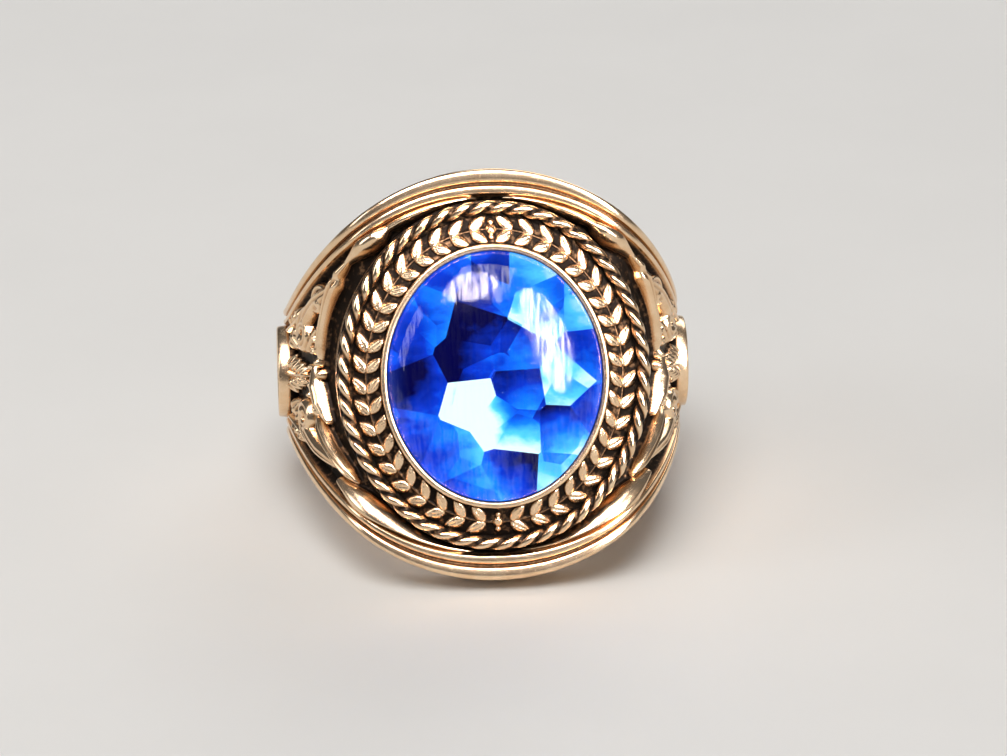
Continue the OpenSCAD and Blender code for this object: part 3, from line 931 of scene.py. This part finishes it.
def medallion_height(ring, around, out):
    """Height over the medallion's base plane, and recess, at an angle and a distance from its middle."""
    radius = ring.medallion / 2
    rim = (out - (radius - MEDALLION_RIM / 2)) / (MEDALLION_RIM / 2)
    ground = ring.medallion_rise - MEDALLION_DISH - RIM_FOOT_DROP * smoothstep(*RIM_FOOT, rim)
    height = ground + (MEDALLION_DISH + RIM_RISE) * np.maximum(1 - np.abs(rim) ** RIM_ROUND, 0) ** 0.5
    bead_step = TURN / MEDALLION_BEADS
    bead_turn = (around / bead_step - np.round(around / bead_step)) * bead_step
    from_bead = np.hypot(out * bead_turn, out - (radius - MEDALLION_RIM - MEDALLION_BEAD))
    bead = BEAD_STAND * np.sqrt(np.maximum(MEDALLION_BEAD ** 2 - from_bead ** 2, 0))
    height = np.maximum(height, ground + bead)
    crease_depth, crease_width = PETAL_CREASE
    step = TURN / PETALS
    for shift, reach, wide, rise in PETAL_ROUNDS:
        turned = (around / step + shift - np.round(around / step + shift)) * step
        along, aside = out * np.cos(turned), np.abs(out * np.sin(turned))
        t = np.clip(along / reach, 0, 1)
        leaf = wide * np.sin(math.pi * t ** PETAL_FULL) ** PETAL_BLUNT + 0.001
        petal = np.sqrt(np.maximum(1 - (aside / leaf) ** BLADE_ROUND, 0))
        petal *= 1 - crease_depth * np.exp(-(aside / crease_width) ** 2)
        height = np.maximum(height, ground + rise * petal * (along > 0) * (t < 1))
    boss_radius, boss_rise = BOSS
    height = np.maximum(height, ground + boss_rise * np.sqrt(np.maximum(1 - (out / boss_radius) ** 2, 0)))
    recess = 1 - smoothstep(*DISH_BARE, height - ground)
    return height, recess * (1 - smoothstep(*RIM_BARE, rim))


def build_medallion(ring, side):
    """A dished disc on the side of the ring, with a beaded rim and a rosette."""
    radius = ring.medallion / 2
    out = np.concatenate([np.linspace(0, radius, MEDALLION_ROWS), [radius, radius, 0]])
    back = -ring.panel_depth - ring.edge

    def place(across, up):
        around = TURN * across
        spread = out[:, None] * np.ones_like(across)
        height, recess = medallion_height(ring, around, spread)
        height[MEDALLION_ROWS:] = back
        height[MEDALLION_ROWS] = -ring.panel_depth / 2
        recess[MEDALLION_ROWS:] = 1
        return side * (ring.side + height), spread * np.cos(around), spread * np.sin(around), recess

    bm = grid(MEDALLION_COLUMNS, len(out) - 1, place)
    close_up(bm)
    return bm


HEAD_COLUMNS = 320
# How far the head's underside stays above the finger hole, and below the rails inside the stone's pocket
BORE_COVER = 0.35
POCKET_DROP = 0.5
# Softness of the bezel's lip
LIP = 0.1
# Width and height of the fillet at the bezel's foot
FILLET = (0.04, 0.14)
# Rows of the border's ground, as shares of its width
BORDER_SHARES = (0.3, 0.6, 0.97)
# Where the land starts outside the border, how round its outer edge is, and where the drum's wall starts
LAND_STEP = 0.02
LAND_ROUND = 0.1
DRUM_EDGE = 0.3
# Rows of the drum's wall, as shares of its height, and how far the blackening is rubbed off at each
DRUM_SHARES = (0.96, 0.86, 0.5, 0.22, 0.10, 0.03)
DRUM_RUBBED = (0.60, 0.88, 0.96, 0.88, 0.55, 0.0)
# Heights of the wall between which it starts to show rubbed metal
BARE_WALL = (0.3, 1.3)


def build_head(ring):
    """Bezel, sloping border, rope land and drum as one sweep round the stone."""
    oval = Oval(ring)
    ground, pocket = ring.girdle_y, ring.plate - POCKET_DROP
    slope = ring.land_y - ground
    inside, outside, top, land = ring.stone_gap, ring.bezel_out, ring.lip_y, ring.land_y
    fillet_width, fillet_height = FILLET
    #        distance out, height, recess
    rows = [(inside, pocket, 1), (inside, top - 1.4 * LIP, 0.9), (inside + 0.3 * LIP, top - 0.35 * LIP, 0.15),
            (inside + LIP, top, 0), (outside - 1.1 * LIP, top, 0), (outside - 0.4 * LIP, top - 0.3 * LIP, 0),
            (outside, top - LIP, 0.05), (outside, top - 2.2 * LIP, 0.12),
            (outside + fillet_width / 4, ground + fillet_height, 0.55), (outside + fillet_width, ground, 1)]
    rows += [(outside + share * ring.border, ground + share * slope, 1) for share in BORDER_SHARES]
    rows += [(ring.border_out + LAND_STEP, land, 1), (ring.rope_at, land, 1),
             (ring.drum_out - LAND_ROUND, land, 1),
             (ring.drum_out - 0.3 * LAND_ROUND, land - 0.3 * LAND_ROUND, 0.8),
             (ring.drum_out, land - LAND_ROUND, 0.8), (ring.drum_out, land - DRUM_EDGE, 0.9)]
    out, high, recess = (np.array(column)[:, None] for column in zip(*rows))
    shoulder = Shoulder(ring)

    def place(across, up):
        turns = across[:1]
        x, z = oval.point(turns, ring.drum_out)
        foot = -shoulder.at(shoulder.y, shoulder.run_of(np.abs(x)))
        wall = np.maximum(land - DRUM_EDGE - foot, 0)
        bare = smoothstep(*BARE_WALL, wall)
        lower = [foot + share * wall for share in DRUM_SHARES]
        soiled = [1 - rubbed * bare for rubbed in DRUM_RUBBED]
        bottom = np.sqrt(np.maximum((ring.finger + BORE_COVER) ** 2 - x ** 2, 0))
        flat = np.ones_like(turns)
        outs = np.concatenate([out * flat] + [ring.drum_out * flat] * (len(lower) + 1) + [inside * flat])
        x, z = oval.point(np.broadcast_to(turns, outs.shape), outs)
        y = np.concatenate([high * flat] + lower + [bottom, pocket * flat])
        return x, -y, z, np.concatenate([recess * flat] + soiled + [flat, flat])

    bm = grid(HEAD_COLUMNS, len(rows) + len(DRUM_SHARES) + 1, place)
    close_up(bm)
    return bm


# Angle between a leaf and the stem, and half the gap between the two leaves of a pair
LEAF_ANGLE = math.radians(38)
LEAF_APART = 0.06
# Rise and half width of the stem
STEM = (0.10, 0.07)
# Where the two branches start, as a share of the way round, and how far from there their first leaves
# stand, in steps from leaf to leaf
BRANCH_START = 0.75
FIRST_LEAF = 0.6
# Where a leaf is widest, with less for nearer its stem, and how blunt its ends are
LEAF_FULL = 0.85
LEAF_BLUNT = 0.75
# Height of a leaf at its ends, and what its middle adds, as shares
LEAF_ARCH = (0.66, 0.34)
# Depth and half width of the line along a leaf
MIDRIB = (0.30, 0.035)
# Side veins of a leaf: the distance from one to the next, their slant and depth, and where between two
# of them the blade starts to fall
VEIN_STEP = 0.19
VEIN_SLANT = 1.2
VEIN_DEPTH = 0.10
VEIN_SIDE = 0.55
# Berries where the branches meet: place across the border, radius
BERRIES = ((0, 0.3), (0.42, 0.17), (-0.42, 0.17))
BERRY_RISE = 0.04
WREATH_COLUMNS = 1080
WREATH_ROWS = 38
# Rise of the wreath's ground above the border, its drop at the edges, its fade there and its thickness
WREATH_LIFT = 0.02
WREATH_DROP = 0.05
WREATH_FADE = 0.1
WREATH_BASE = 0.2
# How far the wreath's ground runs under the bezel and the rope
WREATH_OVERLAP = 0.05
# Rises between which the wreath's blackening wears off
WREATH_BARE = (0.04, 0.15)


def wreath_height(ring, oval, run, across):
    """Height of the wreath's leaves, stem and berries over the sloping ground."""
    around = oval.around(ring.bezel_out + ring.border / 2)
    stem_rise, stem_width = STEM
    ends, arch = LEAF_ARCH
    line_depth, line_width = MIDRIB
    height = stem_rise * np.exp(-(across / stem_width) ** 2)
    for grow in (-1, 1):
        for i in range(ring.leaf_pairs):
            root = (BRANCH_START + grow * (i + FIRST_LEAF) / (ring.leaf_pairs + FIRST_LEAF) / 2) % 1 * around
            step = (run - root + around / 2) % around - around / 2
            for side in (-1, 1):
                away = side * across - LEAF_APART
                along = step * grow * math.cos(LEAF_ANGLE) + away * math.sin(LEAF_ANGLE)
                aside = -step * grow * math.sin(LEAF_ANGLE) + away * math.cos(LEAF_ANGLE)
                t = np.clip(along / ring.leaf_length, 0, 1)
                wide = ring.leaf_width / 2 * np.sin(math.pi * t ** LEAF_FULL) ** LEAF_BLUNT + 0.0001
                q = np.abs(aside) / wide
                blade = np.sqrt(np.maximum(1 - q ** BLADE_ROUND, 0)) * (ends + arch * np.sin(math.pi * t))
                vein = np.abs((along - np.abs(aside) * VEIN_SLANT) / VEIN_STEP % 1 - 0.5) * 2
                line = line_depth * np.exp(-(aside / line_width) ** 2)
                blade *= 1 - line - VEIN_DEPTH * smoothstep(VEIN_SIDE, 1, vein)
                inside = (along > 0) & (along < ring.leaf_length)
                height = np.maximum(height, ring.leaf_height * blade * inside)
    for turn in (BRANCH_START - 0.5, BRANCH_START):
        step = (run - turn * around + around / 2) % around - around / 2
        for shift, size in BERRIES:
            q = np.hypot(step, across - shift) / size
            height = np.maximum(height, (size + BERRY_RISE) * np.sqrt(np.maximum(1 - q ** 2, 0)))
    return height


def build_wreath(ring):
    """A laurel wreath in relief on the sloping border."""
    oval = Oval(ring)
    out = np.linspace(ring.bezel_out - WREATH_OVERLAP, ring.border_out + WREATH_OVERLAP, WREATH_ROWS - 2)
    outs = np.concatenate([out, [out[-1], out[0], out[0]]])[:, None]
    middle = ring.bezel_out + ring.border / 2

    def place(across, up):
        offset = outs * np.ones_like(across) - middle
        run = across * oval.around(middle)
        rise = wreath_height(ring, oval, run, offset)
        recess = 1 - smoothstep(*WREATH_BARE, rise)
        edge = smoothstep(0, WREATH_FADE, ring.border / 2 - np.abs(offset))
        rise = (rise + WREATH_LIFT) * edge - WREATH_DROP * (1 - edge)
        rise[-3:-1] = -WREATH_BASE
        rise[-1] = rise[0]
        ground = (ring.land_y + ring.girdle_y) / 2 - offset / ring.border * (ring.girdle_y - ring.land_y)
        x, z = oval.point(across, outs)
        return x, -(ground + rise), z, recess

    bm = grid(WREATH_COLUMNS, WREATH_ROWS, place)
    close_up(bm)
    return bm


# How far the rope sinks into the land, and how far its strands stand off its middle, as a share of its radius
ROPE_SINK = 0.15
ROPE_WAIST = 0.36
# Shares of the rope's radius between which the blackening of its hollows wears off, the heights and the
# places towards the stone between which it sets in again, and how much of it the stone's side keeps
ROPE_BARE = (0.64, 0.90)
ROPE_UNDER = (0.2, -0.4)
ROPE_INNER = (-0.45, -0.95)
ROPE_SOIL = 0.5
ROPE_SECTION = 18
ROPE_STEPS = 28


def build_rope(ring):
    """Two strands twisted round each other, laid round the border."""
    oval = Oval(ring)
    strand_at = ring.rope / 2 * ROPE_WAIST
    strand = ring.rope / 2 - strand_at

    def place(across, up):
        spin = TURN * up
        radius = strand_at * np.abs(np.cos(spin)) + np.sqrt(strand ** 2 - (strand_at * np.sin(spin)) ** 2)
        bearing = TURN * ring.rope_twists * across - spin
        x, z = oval.point(across, ring.rope_at)
        phi = oval.facing(across, ring.rope_at)
        lift = ring.land_y + ring.rope / 2 - ROPE_SINK + radius * np.sin(bearing)
        recess = 1 - smoothstep(*ROPE_BARE, radius / (ring.rope / 2))
        recess = np.maximum(recess, smoothstep(*ROPE_UNDER, np.sin(bearing)))
        recess = np.maximum(recess, ROPE_SOIL * smoothstep(*ROPE_INNER, np.cos(bearing)))
        out = radius * np.cos(bearing)
        return x + out * np.cos(phi), -lift, z + out * np.sin(phi), recess

    bm = grid(ring.rope_twists * ROPE_STEPS, ROPE_SECTION, place)
    close_up(bm)
    return bm


DOME_COLUMNS = 160
DOME_ROWS = 40
# Height, as a share of the dome's, up to which the glass shows the painted glow of its rim
PAINTED_RIM_GLOW = 0.62
# Gap between the stone and the head's plate
STONE_SEAT = 0.05


def build_dome(ring):
    """The stone's clear body: a smooth dome over a straight girdle."""
    oval = Oval(ring)
    turn = np.linspace(0, HALF_PI, DOME_ROWS)
    scale = np.concatenate([np.sin(turn), [1, 0]])
    high = np.concatenate([ring.dome_y + ring.dome * np.cos(turn), [stone_floor(ring), stone_floor(ring)]])

    def place(across, up):
        x, z = oval.point(across, 0)
        # The painted rim glow's share, carried in the recess attribute
        low = smoothstep(PAINTED_RIM_GLOW, 0, (high[:, None] - ring.dome_y) / ring.dome)
        return x * scale[:, None], -high[:, None], z * scale[:, None], low

    bm = grid(DOME_COLUMNS, len(scale) - 1, place)
    close_up(bm)
    return bm


def stone_floor(ring):
    """Height of the stone's flat underside, on the head's plate."""
    return ring.plate - ring.panel_depth + STONE_SEAT


# Gaps between the facets and the stone's side and underside, and the thickness of their foil
FACET_INSET = 0.06
FACET_LIFT = 0.08
FACET_SHELL = 0.04
FACET_SIDES = 96
# How far the uncut block reaches below the facets, and how near to a cut points join it
BLOCK_SPARE = 1
CUT_WELD = 1e-5
# Faces that look up more squarely than this are the block's lid
LID_FACING = -0.99
# Facets: their places as shares of the stone's half width and half length, their tones from 0, navy, to 1,
# the painted glint, and how the tone changes across and up. The tones paint each facet's reflection over
# the stone's blue.
FACETS = ((-0.205, -0.205, 1.02, -0.2, 0.3), (0.20, -0.45, 0.60, 0.0, -2.9), (0.235, -0.10, 0.12, 0.1, -1.3),
          (-0.17, 0.40, 0.02, 0.3, -0.1), (-0.235, 0.125, 0.04, 0.9, 0.3), (0.22, 0.17, 0.26, 0.1, -0.2),
          (0.04, 0.88, 0.14, -0.3, 0.2), (-0.60, 0.50, 0.52, 0.7, 0.5), (-0.85, 0.28, 0.26, 0.3, 0.3),
          (-0.70, -0.07, 0.12, 0.9, -0.3), (-0.80, -0.46, 0.24, 0.5, 0.2), (-0.42, -0.62, 0.50, 0.4, -0.2),
          (-0.27, -0.93, 0.40, 0.4, 0.3), (0.15, -0.76, 0.20, -0.9, -1.2), (0.60, -0.80, 0.80, -0.2, -0.4),
          (0.63, -0.46, 0.60, 0.7, -2.2), (0.93, -0.30, 0.52, 0.2, -0.2), (0.66, -0.05, 0.80, 0.3, -0.9),
          (0.90, 0.17, 0.26, -0.3, -0.5), (0.86, 0.52, 0.66, 0.2, 0.2), (0.45, 0.52, 0.68, -0.9, -0.6),
          (0.28, 0.88, 0.66, 0.6, 0.2), (-0.42, 0.87, 0.50, 0.2, 0.0), (0.03, -0.36, 0.72, -3.0, -0.8),
          (-0.06, 0.66, 0.40, 0.6, 0.0))


def build_facets(ring):
    """The faceted foil under the dome: a bowl cut by planes that touch a shallow paraboloid."""
    oval = Oval(ring)
    low, high = stone_floor(ring) + FACET_LIFT, ring.girdle_y
    curve = (high - low) / oval.half_l ** 2
    bm = bmesh.new()
    made = bmesh.ops.create_circle(bm, segments=FACET_SIDES, radius=1, cap_ends=True)
    x, z = oval.point(np.arange(FACET_SIDES) / FACET_SIDES, -FACET_INSET)
    for vert, across, up in zip(made["verts"], x.tolist(), z.tolist()):
        vert.co = (across, -high, up)
    top = bmesh.ops.extrude_face_region(bm, geom=bm.faces[:])
    moved = [g for g in top["geom"] if isinstance(g, bmesh.types.BMVert)]
    bmesh.ops.translate(bm, verts=moved, vec=(0, high - low + BLOCK_SPARE, 0))
    for across, up, *_ in FACETS:
        px, pz = across * oval.half_w, up * oval.half_l
        touch = low + curve * (px ** 2 + pz ** 2)
        cut = bmesh.ops.bisect_plane(
            bm, geom=bm.verts[:] + bm.edges[:] + bm.faces[:], dist=CUT_WELD, plane_co=(px, -touch, pz),
            plane_no=(2 * curve * px, 1, 2 * curve * pz), clear_outer=True)
        edges = [g for g in cut["geom_cut"] if isinstance(g, bmesh.types.BMEdge)]
        if edges:
            bmesh.ops.holes_fill(bm, edges=edges, sides=0)
    bmesh.ops.recalc_face_normals(bm, faces=bm.faces)
    lid = [f for f in bm.faces if f.normal.y < LID_FACING]
    bmesh.ops.delete(bm, geom=lid, context="FACES_ONLY")
    # Each facet's tone is the stone's blue with its painted reflection or glint
    tone = bm.loops.layers.float_color.new("tone")
    sites = np.array([(a * oval.half_w, u * oval.half_l) for a, u, *_ in FACETS])
    for face in bm.faces:
        centre = face.calc_center_median()
        nearest = int(((sites - (centre.x, centre.z)) ** 2).sum(axis=1).argmin())
        across, up, middle, lean_across, lean_up = FACETS[nearest]
        for loop in face.loops:
            off_across = loop.vert.co.x / oval.half_w - across
            off_up = loop.vert.co.z / oval.half_l - up
            value = middle + lean_across * off_across + lean_up * off_up
            loop[tone] = (value, value, value, 1)
    bmesh.ops.solidify(bm, geom=bm.faces[:], thickness=-FACET_SHELL)
    bmesh.ops.recalc_face_normals(bm, faces=bm.faces)
    return bm


SIDES = (("left", -1), ("right", 1))


class RING_OT_band(bpy.types.Operator):
    """Models the band with its rails, grooves and sunk shoulder panels."""

    bl_idname = "ring.band"
    bl_label = "Band"
    bl_options = {"REGISTER", "UNDO"}

    def execute(self, context):
        material = gold_material("polished_gold", blackening=1.0, polish=0.19, bump=0.004)
        add_piece("band", build_band(ring_sizes()), material)
        return {"FINISHED"}


class RING_OT_shoulders(bpy.types.Operator):
    """Models the scrolls, leaves and beads in relief on both shoulders."""

    bl_idname = "ring.shoulders"
    bl_label = "Shoulder Relief"
    bl_options = {"REGISTER", "UNDO"}

    def execute(self, context):
        material = gold_material("relief_gold", blackening=1.0, polish=0.17, bump=0.010)
        for name, side in SIDES:
            add_piece("shoulder_relief_" + name, build_relief(ring_sizes(), side), material)
        return {"FINISHED"}


class RING_OT_medallions(bpy.types.Operator):
    """Models the round medallions on the sides."""

    bl_idname = "ring.medallions"
    bl_label = "Side Medallions"
    bl_options = {"REGISTER", "UNDO"}

    def execute(self, context):
        material = gold_material("medallion_gold", blackening=0.9, polish=0.20, bump=0.010)
        for name, side in SIDES:
            add_piece("medallion_" + name, build_medallion(ring_sizes(), side), material)
        return {"FINISHED"}


class RING_OT_head(bpy.types.Operator):
    """Models the bezel, the border's ground and the drum."""

    bl_idname = "ring.head"
    bl_label = "Head"
    bl_options = {"REGISTER", "UNDO"}

    def execute(self, context):
        material = gold_material("bezel_gold", blackening=1.0, polish=0.22, bump=0.006)
        add_piece("head", build_head(ring_sizes()), material)
        return {"FINISHED"}


class RING_OT_wreath(bpy.types.Operator):
    """Models the wreath on the border."""

    bl_idname = "ring.wreath"
    bl_label = "Wreath Border"
    bl_options = {"REGISTER", "UNDO"}

    def execute(self, context):
        material = gold_material("wreath_gold", blackening=1.0, polish=0.22, bump=0.012)
        add_piece("wreath_border", build_wreath(ring_sizes()), material)
        return {"FINISHED"}


class RING_OT_rope(bpy.types.Operator):
    """Models the twisted rope round the border."""

    bl_idname = "ring.rope"
    bl_label = "Rope Border"
    bl_options = {"REGISTER", "UNDO"}

    def execute(self, context):
        material = gold_material("rope_gold", blackening=1.0, polish=0.16, bump=0.008)
        add_piece("rope_border", build_rope(ring_sizes()), material)
        return {"FINISHED"}


class RING_OT_stone(bpy.types.Operator):
    """Models the clear dome and the facets under it."""

    bl_idname = "ring.stone"
    bl_label = "Stone"
    bl_options = {"REGISTER", "UNDO"}

    def execute(self, context):
        ring = ring_sizes()
        add_piece("stone_dome", build_dome(ring), dome_material(), "stone")
        add_piece("stone_facets", build_facets(ring), facet_material(), "stone", smooth=False)
        return {"FINISHED"}


# Where the camera stands and how far, how wide a strip it sees there, and how far its aim is off the stone
CAMERA_AZIMUTH = math.radians(3.8)
CAMERA_RISE = math.radians(24.5)
CAMERA_DISTANCE = 250
VIEW_WIDTH = 56.2
VIEW_SHIFT = (0.46, -0.1)
SENSOR = 36
CLIP = (0.01, 10)


def towards(azimuth, rise):
    """Unit direction from the ring towards an azimuth, counted from the front to the left, and a rise."""
    return Vector((-math.sin(azimuth) * math.cos(rise), -math.cos(azimuth) * math.cos(rise), math.sin(rise)))


def stone_centre(ring):
    """World place of the middle of the stone's dome rim."""
    return ring_matrix() @ Vector((0, -ring.dome_y, 0))


def add_camera(ring):
    """A long lens at the photo's height and side, on the stone."""
    lens = bpy.data.cameras.new("camera")
    camera = bpy.data.objects.new("camera", lens)
    bpy.context.scene.collection.objects.link(camera)
    back = towards(CAMERA_AZIMUTH, CAMERA_RISE)
    camera.rotation_euler = (-back).to_track_quat("-Z", "Y").to_euler()
    right = Vector((0, 0, 1)).cross(back).normalized()
    above = back.cross(right)
    aim = stone_centre(ring) + (right * VIEW_SHIFT[0] + above * VIEW_SHIFT[1]) * MM
    camera.location = aim + back * CAMERA_DISTANCE * MM
    lens.sensor_width = SENSOR
    lens.lens = SENSOR * CAMERA_DISTANCE / VIEW_WIDTH
    lens.clip_start, lens.clip_end = CLIP
    bpy.context.scene.camera = camera


def add_lamp(name, ring, direction, distance, size, power, tint):
    """A flat lamp that looks at the ring."""
    lamp = bpy.data.lights.new(name, "AREA")
    lamp.shape = "RECTANGLE"
    lamp.size, lamp.size_y = size[0] * MM, size[1] * MM
    lamp.energy, lamp.color = power, tint
    box = bpy.data.objects.new(name, lamp)
    bpy.context.scene.collection.objects.link(box)
    box.location = stone_centre(ring) + direction * distance * MM
    box.rotation_euler = direction.to_track_quat("Z", "Y").to_euler()
    return box


# Least height of a glint on the dome, as a share of the dome's, squared
LEAST_RISE = 0.02


def glint_direction(ring, across, up):
    """Where a lamp stands to be seen in the dome, at shares of the stone's half width and half length."""
    x, z = across * ring.stone_width / 2, up * ring.stone_length / 2
    rise = math.sqrt(max(LEAST_RISE, 1 - across ** 2 - up ** 2))
    normal = Vector((x / (ring.stone_width / 2) ** 2, -rise / ring.dome, z / (ring.stone_length / 2) ** 2))
    normal = (ring_matrix().to_3x3() @ normal).normalized()
    back = towards(CAMERA_AZIMUTH, CAMERA_RISE)
    return (2 * normal.dot(back) * normal - back).normalized()


FLOOR_HALF = 1.5
# How much darker the floor's mottle is
MOTTLE = 0.985
AIR_COLOUR = (0.92, 0.95, 1.0, 1)
AIR_STRENGTH = 0.10
# Round windows that show only as gloss on the dome: place in it across and up, size, power, tint
WINDOW_DISTANCE = 420
WINDOWS = {"top_window": ((-0.25, 0.76), (270, 190), 3.2, (1, 0.88, 0.92)),
           "side_window": ((0.52, 0.37), (200, 350), 5.4, (1, 0.94, 0.93))}
# Soft boxes that light the ring: azimuth and rise in radians, size, power, tint
BOX_DISTANCE = 600
SOFT_BOXES = {"overhead": ((0.3, math.radians(70)), (420, 420), 3.3, (1, 0.97, 0.93)),
              "left_fill": ((math.radians(75), math.radians(25)), (200, 300), 0.7, (1, 1, 1)),
              "back_fill": ((math.radians(200), math.radians(35)), (400, 300), 1.0, (1, 1, 1))}


def floor_material():
    """Matt pale card with the faintest mottle."""
    material, tree, shader = new_material("pale_card")
    base = tuple(bpy.context.scene.ring_colours.floor)
    darker = tuple(MOTTLE * value for value in base[:3]) + (1,)
    cloud = noise_node(tree, object_mm(tree), scale=0.06, detail=3.0)
    mottle = mix_node(tree, ramp_node(tree, cloud, low=0.35, high=0.65), darker, base)
    tree.links.new(mottle, shader.inputs["Base Color"])
    set_sockets(shader, {"Roughness": 1, "Specular IOR Level": 0})
    return material


def add_floor():
    """A wide flat sheet of card under the ring."""
    bm = bmesh.new()
    bmesh.ops.create_grid(bm, x_segments=1, y_segments=1, size=FLOOR_HALF)
    mesh = bpy.data.meshes.new("floor")
    bm.to_mesh(mesh)
    bm.free()
    mesh.materials.append(floor_material())
    floor = bpy.data.objects.new("floor", mesh)
    bpy.context.scene.collection.objects.link(floor)


def add_air(scene):
    """Faint cool light from all round."""
    world = bpy.data.worlds.new("studio_air")
    world.use_nodes = True
    set_sockets(world.node_tree.nodes["Background"], {"Color": AIR_COLOUR, "Strength": AIR_STRENGTH})
    scene.world = world


class RING_OT_studio(bpy.types.Operator):
    """Sets up the floor, the soft light and the camera."""

    bl_idname = "ring.studio"
    bl_label = "Studio"
    bl_options = {"REGISTER", "UNDO"}

    def execute(self, context):
        ring = ring_sizes()
        context.scene.view_settings.view_transform = "Standard"
        add_floor()
        add_air(context.scene)
        for name, (spot, size, power, tint) in WINDOWS.items():
            window = add_lamp(name, ring, glint_direction(ring, *spot), WINDOW_DISTANCE, size, power, tint)
            window.data.shape = "ELLIPSE"
            window.visible_diffuse = False
        for name, (direction, size, power, tint) in SOFT_BOXES.items():
            add_lamp(name, ring, towards(*direction), BOX_DISTANCE, size, power, tint)
        add_camera(ring)
        return {"FINISHED"}


class RING_PT_panel(bpy.types.Panel):
    """Lists the ring's sizes and its pieces."""

    bl_idname = "RING_PT_panel"
    bl_label = "Class Ring"
    bl_space_type = "VIEW_3D"
    bl_region_type = "UI"
    bl_category = "Class Ring"

    def draw(self, context):
        for group in (context.scene.ring_band, context.scene.ring_head, context.scene.ring_colours):
            box = self.layout.box()
            for key in type(group).__annotations__:
                box.prop(group, key)
        for operator in OPERATORS:
            self.layout.operator(operator.bl_idname)


OPERATORS = (RING_OT_band, RING_OT_shoulders, RING_OT_medallions, RING_OT_head, RING_OT_wreath, RING_OT_rope,
             RING_OT_stone, RING_OT_studio)
CLASSES = (BandSizes, HeadSizes, RingColours) + OPERATORS + (RING_PT_panel,)


def register():
    """Registers the classes and adds the sizes and colours to the scene."""
    for item in CLASSES:
        bpy.utils.register_class(item)
    bpy.types.Scene.ring_band = PointerProperty(type=BandSizes)
    bpy.types.Scene.ring_head = PointerProperty(type=HeadSizes)
    bpy.types.Scene.ring_colours = PointerProperty(type=RingColours)


def unregister():
    """Takes the classes and the properties out again."""
    for name in ("ring_band", "ring_head", "ring_colours"):
        delattr(bpy.types.Scene, name)
    for item in reversed(CLASSES):
        bpy.utils.unregister_class(item)


def main():
    """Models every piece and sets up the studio."""
    register()
    bpy.ops.ring.band()
    bpy.ops.ring.shoulders()
    bpy.ops.ring.medallions()
    bpy.ops.ring.head()
    bpy.ops.ring.wreath()
    bpy.ops.ring.rope()
    bpy.ops.ring.stone()
    bpy.ops.ring.studio()


if __name__ == "__main__":
    main()
